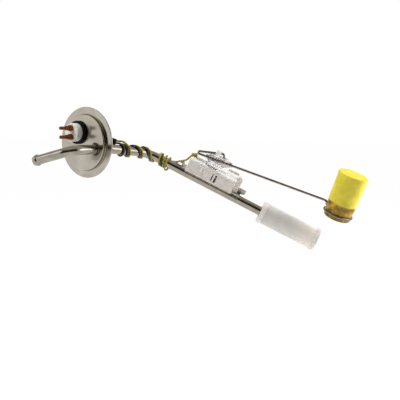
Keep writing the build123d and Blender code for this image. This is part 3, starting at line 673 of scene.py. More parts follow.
def tinned_bronze():
    """Tinned bronze strip, stamped and crimped.

    The tin gives a pale, warm grey with a satin shine.
    """
    material, tree, shader, place = start_material(
        "tinned_bronze", "#C9C2B4", {"Metallic": 1.0, "Roughness": 0.3}
    )
    cloud = add_node(
        tree, "ShaderNodeTexNoise", values={"Scale": per_metre(2.0), "Detail": 3.0},
        links={"Vector": place},
    )
    add_node(
        tree, "ShaderNodeValToRGB", stops=[(0.3, "#BDB5A4"), (0.7, "#D6D0C4")],
        links={"Fac": cloud.outputs["Fac"]}, feeds={"Color": shader.inputs["Base Color"]},
    )
    return material


def moulded_white_nylon():
    """White nylon, injection moulded.

    Light enters a little way, so its edges are soft, under a dull moulded skin.
    """
    material, tree, shader, place = start_material(
        "moulded_white_nylon", "#DAD6D0",
        {
            "Metallic": 0.0, "Roughness": 0.42, "IOR": 1.53, "Subsurface Weight": 0.08,
            "Subsurface Radius": (1.0, 0.9, 0.8), "Subsurface Scale": 2.0 * MM,
        },
    )
    cloud = add_node(
        tree, "ShaderNodeTexNoise", values={"Scale": per_metre(4.0), "Detail": 3.0},
        links={"Vector": place},
    )
    add_node(
        tree, "ShaderNodeValToRGB", stops=[(0.3, "#D3CEC8"), (0.7, "#E0DDD8")],
        links={"Fac": cloud.outputs["Fac"]}, feeds={"Color": shader.inputs["Base Color"]},
    )
    skin = add_node(
        tree, "ShaderNodeTexNoise", values={"Scale": per_metre(0.5), "Detail": 3.0},
        links={"Vector": place},
    )
    add_node(
        tree, "ShaderNodeBump", values={"Strength": 0.4, "Distance": 0.01 * MM},
        links={"Height": skin.outputs["Fac"]}, feeds={"Normal": shader.inputs["Normal"]},
    )
    return material


def natural_nylon():
    """Natural nylon without pigment, injection moulded as the housing's tray.

    It is milky, a little grey where walls back it, with light at its edges.
    """
    material, tree, shader, place = start_material(
        "natural_nylon", "#D3CCC5",
        {
            "Metallic": 0.0, "Roughness": 0.36, "IOR": 1.53, "Subsurface Weight": 0.1,
            "Subsurface Radius": (1.0, 0.92, 0.88), "Subsurface Scale": 3.0 * MM,
        },
    )
    cloud = add_node(
        tree, "ShaderNodeTexNoise", values={"Scale": per_metre(6.0), "Detail": 3.0},
        links={"Vector": place},
    )
    add_node(
        tree, "ShaderNodeValToRGB", stops=[(0.3, "#D0C8C2"), (0.7, "#DED8D2")],
        links={"Fac": cloud.outputs["Fac"]}, feeds={"Color": shader.inputs["Base Color"]},
    )
    skin = add_node(
        tree, "ShaderNodeTexNoise", values={"Scale": per_metre(0.6), "Detail": 3.0},
        links={"Vector": place},
    )
    add_node(
        tree, "ShaderNodeBump", values={"Strength": 0.4, "Distance": 0.015 * MM},
        links={"Height": skin.outputs["Fac"]}, feeds={"Normal": shader.inputs["Normal"]},
    )
    return material


def thin_nylon_painted_light(name, dark, light):
    """Natural nylon, injection moulded in thin walls, as the rotor and the cover.

    Light comes through it a little, and its tones are painted lighter than the tray's nylon as
    painted light that hides its shade, so it is the whitest of the mouldings.
    """
    material, tree, shader, place = start_material(
        name, light,
        {"Metallic": 0.0, "Roughness": 0.45, "IOR": 1.35, "Transmission Weight": 0.3},
    )
    cloud = add_node(
        tree, "ShaderNodeTexNoise", values={"Scale": per_metre(5.0), "Detail": 3.0},
        links={"Vector": place},
    )
    add_node(
        tree, "ShaderNodeValToRGB", stops=[(0.3, dark), (0.7, light)],
        links={"Fac": cloud.outputs["Fac"]}, feeds={"Color": shader.inputs["Base Color"]},
    )
    return material


def black_rubber():
    """Nitrile rubber, moulded.

    Carbon black gives it a deep black with hardly any shine.
    """
    material, tree, shader, place = start_material(
        "black_rubber", "#0A0A0A",
        {"Metallic": 0.0, "Roughness": 0.6, "Specular IOR Level": 0.15},
    )
    grain = add_node(
        tree, "ShaderNodeTexNoise", values={"Scale": per_metre(0.4), "Detail": 3.0},
        links={"Vector": place},
    )
    add_node(
        tree, "ShaderNodeValToRGB", stops=[(0.3, "#050505"), (0.7, "#0C0C0B")],
        links={"Fac": grain.outputs["Fac"]}, feeds={"Color": shader.inputs["Base Color"]},
    )
    add_node(
        tree, "ShaderNodeBump", values={"Strength": 0.5, "Distance": 0.02 * MM},
        links={"Height": grain.outputs["Fac"]}, feeds={"Normal": shader.inputs["Normal"]},
    )
    return material


def lead_insulation(name, dark, light):
    """PVC insulation, extruded over the strands of a lead.

    It gives a smooth skin with a soft shine, a little mottled by fuel.
    """
    material, tree, shader, place = start_material(
        name, light, {"Metallic": 0.0, "Roughness": 0.36, "IOR": 1.5}
    )
    cloud = add_node(
        tree, "ShaderNodeTexNoise", values={"Scale": per_metre(2.5), "Detail": 3.0},
        links={"Vector": place},
    )
    add_node(
        tree, "ShaderNodeValToRGB", stops=[(0.3, dark), (0.7, light)],
        links={"Fac": cloud.outputs["Fac"]}, feeds={"Color": shader.inputs["Base Color"]},
    )
    skin = add_node(
        tree, "ShaderNodeTexNoise", values={"Scale": per_metre(0.5), "Detail": 3.0},
        links={"Vector": place},
    )
    add_node(
        tree, "ShaderNodeBump", values={"Strength": 0.4, "Distance": 0.01 * MM},
        links={"Height": skin.outputs["Fac"]}, feeds={"Normal": shader.inputs["Normal"]},
    )
    return material


def float_foam():
    """Closed-cell nitrile foam, moulded.

    Its cut cells give a dull yellow skin, which fuel has stained brown up to a ragged line.
    """
    material, tree, shader, place = start_material(
        "float_foam", "#D6C63C", {"Metallic": 0.0, "Roughness": 0.55, "IOR": 1.45}
    )
    from_ring = add_node(
        tree, "ShaderNodeVectorMath", {"operation": "SUBTRACT"}, {1: ring_centre * MM}, {0: place}
    )
    height_mm = add_node(
        tree, "ShaderNodeVectorMath", {"operation": "DOT_PRODUCT"}, {1: float_axis / MM},
        {0: from_ring.outputs["Vector"]},
    )
    waver = add_node(
        tree, "ShaderNodeTexNoise", values={"Scale": per_metre(5.0), "Detail": 3.0},
        links={"Vector": place},
    )
    ragged = add_node(
        tree, "ShaderNodeMath", {"operation": "MULTIPLY_ADD"}, {1: stain_waver},
        {0: waver.outputs["Fac"], 2: height_mm.outputs["Value"]},
    )
    stained = add_node(
        tree, "ShaderNodeMapRange", {"interpolation_type": "SMOOTHSTEP"},
        {
            "From Min": float_boundary - stain_below, "From Max": float_boundary + stain_above,
            "To Min": 1.0, "To Max": 0.0,
        },
        {"Value": ragged.outputs["Value"]},
    )
    patches = add_node(
        tree, "ShaderNodeTexNoise", values={"Scale": per_metre(7.0), "Detail": 3.0},
        links={"Vector": place},
    )
    clean = add_node(
        tree, "ShaderNodeValToRGB", stops=[(0.3, "#C6B630"), (0.7, "#D8C93C")],
        links={"Fac": patches.outputs["Fac"]},
    )
    blots = add_node(
        tree, "ShaderNodeTexNoise", values={"Scale": per_metre(8.0), "Detail": 4.0},
        links={"Vector": place},
    )
    brown = add_node(
        tree, "ShaderNodeValToRGB",
        stops=[(0.36, "#4E430A"), (0.5, "#8C7012"), (0.66, "#C4942C")],
        links={"Fac": blots.outputs["Fac"]},
    )
    add_node(
        tree, "ShaderNodeMix", {"data_type": "RGBA"},
        links={
            "Factor": stained.outputs["Result"], 6: clean.outputs["Color"],
            7: brown.outputs["Color"],
        },
        feeds={2: shader.inputs["Base Color"]},
    )
    cells = add_node(
        tree, "ShaderNodeTexVoronoi", values={"Scale": per_metre(0.5)}, links={"Vector": place}
    )
    add_node(
        tree, "ShaderNodeBump", values={"Strength": 0.5, "Distance": 0.08 * MM},
        links={"Height": cells.outputs["Distance"]}, feeds={"Normal": shader.inputs["Normal"]},
    )
    return material


def strainer_moulding():
    """Nylon 6, injection moulded as the strainer's rings.

    It is milky white and dull, with light inside its thick walls.
    """
    material, tree, shader, place = start_material(
        "strainer_moulding", "#DDD8D2",
        {
            "Metallic": 0.0, "Roughness": 0.45, "IOR": 1.53, "Subsurface Weight": 0.1,
            "Subsurface Scale": 2.5 * MM,
        },
    )
    cloud = add_node(
        tree, "ShaderNodeTexNoise", values={"Scale": per_metre(5.0), "Detail": 3.0},
        links={"Vector": place},
    )
    add_node(
        tree, "ShaderNodeValToRGB", stops=[(0.3, "#D5CFC9"), (0.7, "#E3DFDA")],
        links={"Fac": cloud.outputs["Fac"]}, feeds={"Color": shader.inputs["Base Color"]},
    )
    return material


def strainer_weave():
    """Nylon monofilament, plain woven.

    It gives a fine, pale tooth that is painted lighter and warmer towards the free end, as painted
    light. The real threads are too fine to show, so they are drawn as coarse as thread_spacing.
    """
    material, tree, shader, place = start_material(
        "strainer_weave", "#CFCBC8",
        {
            "Metallic": 0.0, "Roughness": 0.5, "IOR": 1.53, "Subsurface Weight": 0.1,
            "Subsurface Scale": 2.5 * MM,
        },
    )
    patches = add_node(
        tree, "ShaderNodeTexNoise", values={"Scale": per_metre(12.0), "Detail": 3.0},
        links={"Vector": place},
    )
    cloud = add_node(
        tree, "ShaderNodeValToRGB", stops=[(0.3, "#C3C0BE"), (0.7, "#D1CDC9")],
        links={"Fac": patches.outputs["Fac"]},
    )
    # Painted light: along the sleeve the colour turns lighter and warmer towards the free end
    from_start = add_node(
        tree, "ShaderNodeVectorMath", {"operation": "SUBTRACT"},
        {1: on_mast(strainer_start, 0, 0) * MM}, {0: place},
    )
    along_mm = add_node(
        tree, "ShaderNodeVectorMath", {"operation": "DOT_PRODUCT"}, {1: mast_axis / MM},
        {0: from_start.outputs["Vector"]},
    )
    painted_light_ramp = add_node(
        tree, "ShaderNodeMapRange", {"interpolation_type": "SMOOTHSTEP"},
        {"From Min": strainer_length * painted_light_share, "From Max": strainer_length},
        {"Value": along_mm.outputs["Value"]},
    )
    add_node(
        tree, "ShaderNodeMix", {"data_type": "RGBA"}, {7: linear("#EBE3D8")},
        {"Factor": painted_light_ramp.outputs["Result"], 6: cloud.outputs["Color"]},
        {2: shader.inputs["Base Color"]},
    )
    threads = add_node(
        tree, "ShaderNodeTexNoise", values={"Scale": per_metre(thread_spacing), "Detail": 3.0},
        links={"Vector": place},
    )
    add_node(
        tree, "ShaderNodeBump", values={"Strength": 0.6, "Distance": 0.08 * MM},
        links={"Height": threads.outputs["Fac"]}, feeds={"Normal": shader.inputs["Normal"]},
    )
    return material


plate_finish = stamped_nickel_steel()
tube_finish = drawn_tube_steel()
braze_finish = brazed_joint()
bracket_finish = bracket_steel()
arm_finish = spring_wire_steel()
pin_finish = tarnished_copper()
bronze_finish = tinned_bronze()
white_finish = moulded_white_nylon()
housing_finish = natural_nylon()
# Cover and rotor: nylon painted lighter than the tray's, the rotor most, as painted light that hides
# their shade
cover_painted_light_finish = thin_nylon_painted_light("cover_nylon_painted_light", "#EBE8E4", "#F3F1ED")
rotor_painted_light_finish = thin_nylon_painted_light("rotor_nylon_painted_light", "#F4F2F1", "#FDFCFB")
rubber_finish = black_rubber()
signal_finish = lead_insulation("yellow_pvc_insulation", "#6F6714", "#AFA233")
ground_finish = lead_insulation("black_pvc_insulation", "#1E1C10", "#3A361C")
foam_finish = float_foam()
moulding_finish = strainer_moulding()
weave_finish = strainer_weave()


# Flange, its tube and its connector

def make_flange():
    """Stamped plate: raised centre, blended step and flat rim."""
    bm = bmesh.new()
    back = plate_face + sheet
    profile = [
        (0, plate_face), (plate_radius, plate_face), (plate_radius, -sheet),
        (flange_radius, -sheet), (flange_radius, 0), (plate_radius - sheet, 0),
        (plate_radius - sheet, back), (0, back),
    ]
    add_turned(bm, soften(profile, plate_roundings), Vector((0, 0, 0)), Vector((1, 0, 0)))
    mesh = close_mesh(bm, "flange_plate_stamped")
    return settle(mesh, plate_finish, "sender", "plate_steel", "flange_plate")


def make_tube():
    """Drawn tube with its rolled outlet bead, open at the outlet so that its wall shows."""
    line = rounded(
        [outlet_tip, outlet_elbow, lead_corner, mast_corner, tube_end],
        [outlet_elbow_radius, lead_bend_radius, mast_bend_radius],
    )
    bead_middle = bead_setback + bead_width / 2
    head_length = bead_setback + bead_width + head_past_bead
    head = []
    for number in range(head_rings + 1):
        along = head_start + head_length * number / head_rings
        away = (along - bead_middle) / (bead_width / 2)
        swell = max(0.0, 1 - away * away) ** 0.5
        head.append((along, tube_radius + (bead_radius - tube_radius) * swell))
    first = line[0]
    tangent = (line[1] - line[0]).normalized()
    inner = tube_radius - tube_wall
    mouth = [
        (bore_depth, inner), (rim_inside, inner), (0.0, inner + rim_inside),
        (0.0, tube_radius - rim_outside), (rim_corner_along, tube_radius - rim_corner_in),
    ]
    turned = stations(line)[0].to_3x3().to_4x4()
    rings = [
        (Matrix.Translation(first + tangent * along) @ turned, radius)
        for along, radius in mouth + head
    ]
    rings += [(matrix, tube_radius) for matrix in stations(line)[1:]]
    bm = bmesh.new()
    add_pipe(bm, rings, TUBE_STEPS)
    mesh = close_mesh(bm, "pickup_tube_drawn")
    return settle(mesh, tube_finish, "sender", "tube_steel", "pickup_tube")


def make_collar():
    """Braze fillet where the tube leaves the plate."""
    bm = bmesh.new()
    inside = tube_radius + tube_fit
    profile = [
        (inside, 0), (collar_radius, 0), (collar_radius - collar_slope, collar_foot),
        (inside + collar_lip, collar_height), (inside, collar_height), (inside, 0),
    ]
    add_turned(bm, profile, Vector((plate_face, tube_y, tube_z)), Vector((-1, 0, 0)))
    return settle(close_mesh(bm, "tube_braze"), braze_finish, "sender", "tube_steel", "tube_collar")


def make_connector():
    """White insulator: head outside the plate, neck through it, boss inside."""
    bm = bmesh.new()
    neck_end = plate_face + sheet
    profile = [
        (0, connector_face), (connector_radius, connector_face), (connector_radius, plate_face),
        (neck_radius, plate_face), (neck_radius, neck_end), (boss_radius, neck_end),
        (boss_radius, neck_end + boss_depth), (0, neck_end + boss_depth),
    ]
    origin = Vector((0, connector_y, connector_z))
    add_turned(bm, soften(profile, connector_roundings), origin, Vector((1, 0, 0)))
    mesh = close_mesh(bm, "connector_insulator")
    return settle(mesh, white_finish, "sender", "white_nylon", "connector_body")


def make_seal():
    """Rubber ring round the insulator's head."""
    bm = bmesh.new()
    inside = connector_radius + tube_fit
    face = plate_face - seal_height
    profile = [
        (inside, plate_face), (inside, face), (seal_radius, face), (seal_radius, plate_face),
        (inside, plate_face),
    ]
    origin = Vector((0, connector_y, connector_z))
    add_turned(bm, soften(profile, seal_roundings), origin, Vector((1, 0, 0)))
    mesh = close_mesh(bm, "connector_seal_rubber")
    return settle(mesh, rubber_finish, "sender", "black_rubber", "connector_seal")


def make_pin(name, node, side):
    """Contact pin: round tip, stepped thick collar, thin tail."""
    bm = bmesh.new()
    collar_front = connector_face - pin_collar_length
    step_end = collar_front + pin_step_length
    tip = collar_front - pin_length
    end = plate_face + sheet + boss_depth + pin_tail
    profile = [
        (0, tip), (pin_radius, tip), (pin_radius, collar_front), (pin_step_radius, collar_front),
        (pin_step_radius, step_end), (pin_collar_radius, step_end),
        (pin_collar_radius, connector_face), (pin_tail_radius, connector_face),
        (pin_tail_radius, end), (0, end),
    ]
    origin = Vector((0, connector_y, connector_z + side * pin_spacing / 2))
    add_turned(bm, soften(profile, pin_roundings), origin, Vector((1, 0, 0)), steps=SMALL_STEPS)
    return settle(close_mesh(bm, name), pin_finish, "sender", "contact_copper", node)


# Leads

def wrap_place(wrap, angle):
    """Length along the tube and lift off it, where a lead that winds round it is at an angle."""
    for (angle_a, length_a, lift_a), (angle_b, length_b, lift_b) in zip(wrap, wrap[1:]):
        if angle <= angle_b:
            share = (angle - angle_a) / (angle_b - angle_a)
            return length_a + (length_b - length_a) * share, lift_a + (lift_b - lift_a) * share


inner_line = rounded(
    [plate_crossing, lead_corner, mast_corner, tube_end], [lead_bend_radius, mast_bend_radius]
)
sleeve_axis = (sleeve_end - sleeve_start).normalized()
sleeve_up = sleeve_axis.cross(Vector((0, 0, 1)).cross(sleeve_axis).normalized())
sleeve_length = (sleeve_end - sleeve_start).length


def beside_tube(length, angle, reach):
    """Point at a distance from the tube's axis; 90 degrees is above, 180 is the front."""
    centre, along = place_along(inner_line, length)
    side = Vector((0, 0, 1)).cross(along).normalized()
    above = along.cross(side)
    return centre + side * (reach * cos(radians(angle))) + above * (reach * sin(radians(angle)))


def lead_points(pin_side, sleeve_offset, wrap, tail):
    """Corners of a lead's route: pin, sleeve, turns round the tube, tail."""
    pin_end = plate_face + sheet + boss_depth + pin_tail
    start = Vector((pin_end, connector_y, connector_z + pin_side * pin_spacing / 2))
    points = [start, start + Vector((pin_lead, 0, 0))]
    for along in (-sleeve_margin, sleeve_length):
        points.append(sleeve_start + sleeve_axis * along + sleeve_up * sleeve_offset)
    reach = (tube_radius + wire_gap + wire_radius) / cos(radians(wrap_step / 2))
    for angle in range(wrap[0][0], wrap[-1][0] + 1, wrap_step):
        length, lift = wrap_place(wrap, angle)
        points.append(beside_tube(length, angle, reach + lift))
    points += [on_mast(*place) for place in tail]
    return points


def make_lead(name, node, slot, material, points):
    """Insulated lead on a smooth line through its route."""
    curve = bpy.data.curves.new(name, "CURVE")
    curve.dimensions = "3D"
    spline = curve.splines.new("NURBS")
    spline.points.add(len(points) - 1)
    for spot, point in zip(spline.points, points):
        spot.co = (*(point * MM), 1.0)
    spline.order_u = lead_order
    spline.use_endpoint_u = True
    spline.resolution_u = lead_smoothness
    curve.bevel_depth = wire_radius * MM
    curve.bevel_resolution = lead_roundness
    curve.use_fill_caps = True
    holder = bpy.data.objects.new(name + "_line", curve)
    bpy.context.scene.collection.objects.link(holder)
    bpy.context.view_layer.update()
    shaped = holder.evaluated_get(bpy.context.evaluated_depsgraph_get())
    mesh = bpy.data.meshes.new_from_object(shaped)
    bpy.data.objects.remove(holder)
    mesh.name = name
    mesh.polygons.foreach_set("use_smooth", [True] * len(mesh.polygons))
    return settle(mesh, material, "sender", slot, node)


def make_sleeve():
    """Tapered sleeve over both leads."""
    bm = bmesh.new()
    bore = 2 * (wire_radius + wire_gap)
    profile = [
        (bore, 0), (sleeve_big_radius, 0), (sleeve_small_radius, sleeve_length),
        (bore, sleeve_length), (bore, 0),
    ]
    add_turned(bm, soften(profile, sleeve_roundings), sleeve_start, sleeve_axis, SMALL_STEPS)
    mesh = close_mesh(bm, "wire_sleeve_shrunk")
    return settle(mesh, rubber_finish, "sender", "black_rubber", "wire_sleeve")


def make_terminal_sleeve():
    """Olive sleeve over the signal terminal's barrel."""
    bm = bmesh.new()
    inside = wire_radius + barrel_wall + terminal_sleeve_gap
    outside = inside + terminal_sleeve_wall
    length = barrel_length + terminal_sleeve_lead
    profile = [(inside, 0), (outside, 0), (outside, length), (inside, length), (inside, 0)]
    way = mast_axis * barrel_way.x + mast_up * barrel_way.z
    start = on_mast(*barrel_start) - way * terminal_sleeve_lead
    add_turned(bm, soften(profile, terminal_sleeve_roundings), start, way, BARREL_STEPS)
    return settle(close_mesh(bm, "terminal_sleeve"), signal_finish, "sender", "olive_insulation")


# Mast hardware

def make_dressed(name, node, material, slot, body, width_mm):
    """Copy of a CAD node with its edges rounded as moulding or stamping leaves them."""
    bm = bmesh.new()
    bm.from_mesh(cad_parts[node].data)
    bmesh.ops.scale(bm, vec=(1 / MM, 1 / MM, 1 / MM), verts=bm.verts[:])
    bmesh.ops.remove_doubles(bm, verts=bm.verts[:], dist=CAD_MERGE_GAP)
    bmesh.ops.dissolve_limit(
        bm, angle_limit=radians(FLAT_ANGLE), verts=bm.verts[:], edges=bm.edges[:], delimit={"NORMAL"}
    )
    piece = settle(close_mesh(bm, name, DRESSED_ANGLE), material, body, slot, node)
    rounding = piece.modifiers.new("edges", "BEVEL")
    rounding.width = width_mm * MM
    rounding.segments = EDGE_STEPS
    rounding.limit_method = "ANGLE"
    rounding.angle_limit = radians(DRESSED_ANGLE)
    rounding.harden_normals = False
    return piece


# Float arm and float

def make_arm():
    """Bent wire: end hook, return leg, hairpin, long leg, turn behind the float and ring."""
    points = [on_mast(*place) for place in arm_corners]
    for number, (reach, lift) in enumerate(ring_places):
        angle = radians(ring_first_angle - ring_step * number)
        points.append(on_ring(reach * cos(angle), reach * sin(angle), lift))
    points[-1] = points[-2].lerp(points[-1], ring_last_share)
    radii = arm_bends + [ring_radius * ring_bend_share] * (len(ring_places) - 2)
    line = rounded(points, radii)
    bm = bmesh.new()
    add_pipe(bm, [(matrix, arm_radius) for matrix in stations(line)], WIRE_STEPS)
    return settle(close_mesh(bm, "float_arm_wire"), arm_finish, "arm", "arm_wire", "float_arm")


def make_float():
    """Tapered foam cylinder with the groove for the arm's ring."""
    bm = bmesh.new()
    profile = [
        (0, -float_foot), (float_foot_radius, -float_foot), (float_foot_radius, -groove_half),
        (groove_radius, -groove_half), (groove_radius, groove_half), (float_foot_radius, groove_half),
        (float_side_radius, float_boundary), (float_top_radius, float_height), (0, float_height),
    ]
    add_turned(bm, soften(profile, float_roundings), ring_centre, float_axis, FLOAT_STEPS)
    return settle(close_mesh(bm, "float_foam_moulded"), foam_finish, "arm", "float_foam", "float")


# Strainer

def make_strainer_end(name, node, start, bore):
    """Moulded ring or cap with rounded edges."""
    bm = bmesh.new()
    length = strainer_collar_length
    radius = strainer_collar_radius
    if bore:
        profile = [(bore, 0), (radius, 0), (radius, length), (bore, length), (bore, 0)]
        shape = soften(profile, [0, strainer_rounding, strainer_rounding, 0, 0])
    else:
        profile = [(0, 0), (radius, 0), (radius, length), (0, length)]
        shape = soften(profile, [0, strainer_rounding, strainer_rounding, 0])
    add_turned(bm, shape, on_mast(start, 0, 0), mast_axis)
    return settle(close_mesh(bm, name), moulding_finish, "sender", "strainer_plastic", node)


def make_mesh_sleeve():
    """Woven sleeve between the strainer's rings."""
    bm = bmesh.new()
    start = strainer_start + strainer_collar_length
    length = strainer_length - 2 * strainer_collar_length
    inner = strainer_radius - strainer_wall
    profile = [
        (inner, 0), (strainer_radius, 0), (strainer_radius, length), (inner, length), (inner, 0),
    ]
    add_turned(bm, profile, on_mast(start, 0, 0), mast_axis)
    mesh = close_mesh(bm, "strainer_sleeve_woven")
    return settle(mesh, weave_finish, "sender", "strainer_weave", "strainer_mesh")


make_flange()
make_tube()
make_collar()
make_connector()
make_seal()
make_pin("signal_pin_turned", "signal_pin", 1)
make_pin("ground_pin_turned", "ground_pin", -1)
make_sleeve()
make_lead(
    "signal_lead", "signal_wire", "olive_insulation", signal_finish,
    lead_points(1, pair_offset, signal_wrap, signal_tail),
)
make_lead(
    "ground_lead", "ground_wire", "black_insulation", ground_finish,
    lead_points(-1, -pair_offset, ground_wrap, ground_tail),
)
make_terminal_sleeve()
make_dressed(
    "mounting_bracket_formed", "mounting_bracket", bracket_finish, "bracket_steel", "sender",
    width_mm=0.2,
)
make_dressed(
    "bracket_rivets_set", "bracket_rivets", bracket_finish, "bracket_steel", "sender",
    width_mm=0.2,
)
make_dressed(
    "housing_tray_moulded", "housing_tray", housing_finish, "clear_nylon", "sender",
    width_mm=0.35,
)
make_dressed(
    "housing_cover_moulded", "housing_cover", cover_painted_light_finish, "clear_nylon", "sender",
    width_mm=0.3,
)
make_dressed(
    "signal_terminal_crimped", "signal_terminal", bronze_finish, "contact_bronze", "sender",
    width_mm=0.12,
)
make_dressed(
    "ground_terminal_crimped", "ground_terminal", bracket_finish, "contact_bronze", "sender",
    width_mm=0.12,
)
make_dressed("rotor_moulded", "rotor", rotor_painted_light_finish, "white_nylon", "arm", width_mm=0.35)
make_arm()
make_float()
make_strainer_end("strainer_inlet_ring", "strainer_inlet", strainer_start, tube_radius + tube_fit)
make_strainer_end(
    "strainer_end_cap", "strainer_cap", strainer_start + strainer_length - strainer_collar_length, 0
)
make_mesh_sleeve()

# Inside the housing, two pieces keep their CAD shape and only get a finish
for node, finish in (("resistor_card", white_finish), ("wiper_contact", bronze_finish)):
    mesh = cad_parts[node].data
    mesh.materials.clear()
    mesh.materials.append(finish)


# Floor, walls and lights

def eye_rays(tree):
    """1 for rays from the camera, in reflections and through glass; 0 for light on surfaces."""
    rays = add_node(tree, "ShaderNodeLightPath")
    seen = add_node(
        tree, "ShaderNodeMath", {"operation": "MAXIMUM"},
        links={0: rays.outputs["Is Camera Ray"], 1: rays.outputs["Is Glossy Ray"]},
    )
    both = add_node(
        tree, "ShaderNodeMath", {"operation": "MAXIMUM"},
        links={0: seen.outputs["Value"], 1: rays.outputs["Is Transmission Ray"]},
    )
    return both.outputs["Value"]


def white_to_the_eye(name, code, white):
    """Diffuse pale surface that looks plain white to the camera and in reflections."""
    material = bpy.data.materials.new(name)
    material.use_nodes = True
    tree = material.node_tree
    tree.nodes.clear()
    plain = add_node(tree, "ShaderNodeBsdfDiffuse", values={"Color": linear(code)})
    glow = add_node(
        tree, "ShaderNodeEmission", values={"Color": linear("#FFFFFF"), "Strength": white_glow}
    )
    part = add_node(
        tree, "ShaderNodeMath", {"operation": "MULTIPLY"}, {1: white}, {0: eye_rays(tree)}
    )
    mixed = add_node(
        tree, "ShaderNodeMixShader",
        links={"Fac": part.outputs["Value"], 1: plain.outputs["BSDF"], 2: glow.outputs["Emission"]},
    )
    add_node(tree, "ShaderNodeOutputMaterial", links={"Surface": mixed.outputs["Shader"]})
    material.cycles.emission_sampling = "NONE"
    return material


def make_floor():
    """Pale floor well below the hanging end of the sender."""
    bm = bmesh.new()
    bmesh.ops.create_grid(bm, x_segments=1, y_segments=1, size=floor_half)
    bmesh.ops.translate(bm, vec=(0, 0, floor_height), verts=bm.verts[:])
    mesh = close_mesh(bm, "floor")
    floor = bpy.data.objects.new("floor", mesh)
    mesh.materials.append(white_to_the_eye("pale_floor", "#F4F3F1", floor_white))
    bpy.context.scene.collection.objects.link(floor)


def glowing_wall(name, tones, strength=1.0):
    """Plain wall whose tone changes with height, from (height in mm, hex) pairs."""
    material = bpy.data.materials.new(name)
    material.use_nodes = True
    tree = material.node_tree
    tree.nodes.clear()
    place = add_node(tree, "ShaderNodeTexCoord").outputs["Object"]
    height = add_node(tree, "ShaderNodeSeparateXYZ", links={"Vector": place}).outputs["Z"]
    low, high = tones[0][0], tones[-1][0]
    share = add_node(
        tree, "ShaderNodeMapRange", values={"From Min": low * MM, "From Max": high * MM},
        links={"Value": height},
    )
    tone = add_node(
        tree, "ShaderNodeValToRGB", links={"Fac": share.outputs["Result"]},
        stops=[((z - low) / (high - low), code) for z, code in tones],
    )
    glow = add_node(
        tree, "ShaderNodeEmission", values={"Strength": strength},
        links={"Color": tone.outputs["Color"]},
    )
    add_node(tree, "ShaderNodeOutputMaterial", links={"Surface": glow.outputs["Emission"]})
    material.cycles.emission_sampling = "NONE"
    return material


def place_wall(bm, name, material):
    """Studio wall out of the camera's sight."""
    mesh = close_mesh(bm, name)
    mesh.materials.append(material)
    wall = bpy.data.objects.new(name, mesh)
    wall.visible_camera = False
    wall.visible_shadow = False
    wall.visible_transmission = False
    bpy.context.scene.collection.objects.link(wall)
    return wall


def make_studio_walls():
    """Dark wall behind the camera and grey ceiling, which the metal reflects."""
    bm = bmesh.new()
    behind = Vector((-camera_forward.x, -camera_forward.y, 0)).normalized() * wall_distance
    edge = Matrix.Rotation(radians(-wall_sweep / 2), 3, "Z") @ behind
    spots = [bm.verts.new(edge * share + Vector((0, 0, z))) for share, z in wall_profile]
    edges = [bm.edges.new(pair) for pair in zip(spots, spots[1:])]
    bmesh.ops.spin(
        bm, geom=spots + edges, cent=(0, 0, 0), axis=(0, 0, 1), angle=radians(wall_sweep),
        steps=wall_steps,
    )
    place_wall(bm, "dark_wall", glowing_wall("dark_wall_tone", wall_tones))
    bm = bmesh.new()
    bmesh.ops.create_circle(bm, cap_ends=True, segments=ceiling_steps, radius=ceiling_radius)
    bmesh.ops.translate(bm, vec=(0, 0, ceiling_height), verts=bm.verts[:])
    tones = [(0, ceiling_tone), (ceiling_height, ceiling_tone)]
    ceiling = place_wall(bm, "grey_ceiling", glowing_wall("ceiling_tone", tones))
    ceiling.visible_diffuse = False


def make_card(name, heading, slope, distance, size, strength):
    """Bright studio card turned to the outlet's bend and seen only in reflections."""
    towards = unit_from(heading, slope)
    facing = (-towards).to_track_quat("Z", "Y").to_matrix()
    bm = bmesh.new()
    bmesh.ops.create_grid(bm, x_segments=1, y_segments=1, size=0.5)
    bmesh.ops.scale(bm, vec=(*size, 1), verts=bm.verts[:])
    bmesh.ops.rotate(bm, cent=(0, 0, 0), matrix=facing, verts=bm.verts[:])
    bmesh.ops.translate(bm, vec=outlet_elbow + towards * distance, verts=bm.verts[:])
    tones = [(-ceiling_height, card_tone), (ceiling_height, card_tone)]
    card = place_wall(bm, name, glowing_wall(name + "_tone", tones, strength))
    card.visible_diffuse = False


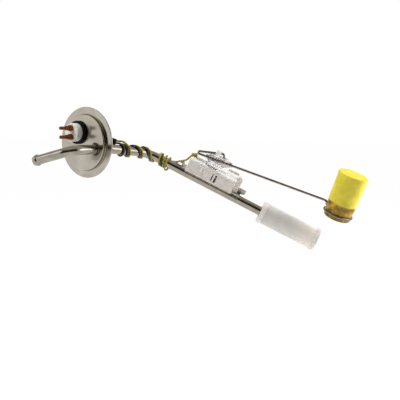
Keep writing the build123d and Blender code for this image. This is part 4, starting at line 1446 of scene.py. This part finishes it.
def add_softbox(name, right, up, back, size, power):
    """Soft area light, placed from the camera's own directions and aimed at the object."""
    camera_right = camera_forward.cross(camera_up)
    place = view_centre + camera_right * right + camera_up * up - camera_forward * back
    light = bpy.data.lights.new(name, "AREA")
    light.shape = "RECTANGLE"
    light.size = size[0] * MM
    light.size_y = size[1] * MM
    light.energy = power
    lamp = bpy.data.objects.new(name, light)
    lamp.location = place * MM
    lamp.visible_glossy = False
    lamp.rotation_euler = (view_centre - place).to_track_quat("-Z", "Y").to_euler()
    bpy.context.scene.collection.objects.link(lamp)


def make_world():
    """White to the camera and in reflections, softer as light."""
    world = bpy.data.worlds.new("studio")
    bpy.context.scene.world = world
    world.use_nodes = True
    tree = world.node_tree
    tree.nodes.clear()
    ambient = add_node(
        tree, "ShaderNodeBackground",
        values={"Color": linear("#FFFFFF"), "Strength": ambient_strength},
    )
    white = add_node(
        tree, "ShaderNodeBackground", values={"Color": linear("#FFFFFF"), "Strength": 1.0}
    )
    mixed = add_node(
        tree, "ShaderNodeMixShader",
        links={
            "Fac": eye_rays(tree), 1: ambient.outputs["Background"],
            2: white.outputs["Background"],
        },
    )
    add_node(tree, "ShaderNodeOutputWorld", links={"Surface": mixed.outputs["Shader"]})


def make_camera():
    """Camera at the photograph's place, angle and lens."""
    data = bpy.data.cameras.new("camera")
    data.lens = camera_lens
    data.sensor_width = sensor_width
    data.clip_start = nearest_seen_m
    data.clip_end = farthest_seen_m
    camera = bpy.data.objects.new("camera", data)
    right = camera_forward.cross(camera_up).normalized()
    up = right.cross(camera_forward).normalized()
    turned = Matrix((right, up, -camera_forward.normalized())).transposed().to_4x4()
    camera.matrix_world = Matrix.Translation(camera_place * MM) @ turned
    bpy.context.scene.collection.objects.link(camera)
    bpy.context.scene.camera = camera


make_floor()
make_studio_walls()
make_card(
    "bright_card_back", heading=150, slope=-28, distance=700, size=(330, 150), strength=2.3
)
make_card(
    "bright_card_front", heading=300, slope=-8, distance=700, size=(380, 320), strength=3.4
)
make_world()
add_softbox("key_left", right=-520, up=420, back=260, size=(500, 500), power=4.0)
add_softbox("fill_right", right=640, up=60, back=-40, size=(450, 600), power=5.5)
add_softbox("top", right=60, up=650, back=-60, size=(700, 500), power=3.0)
make_camera()
bpy.context.scene.view_settings.view_transform = "Standard"
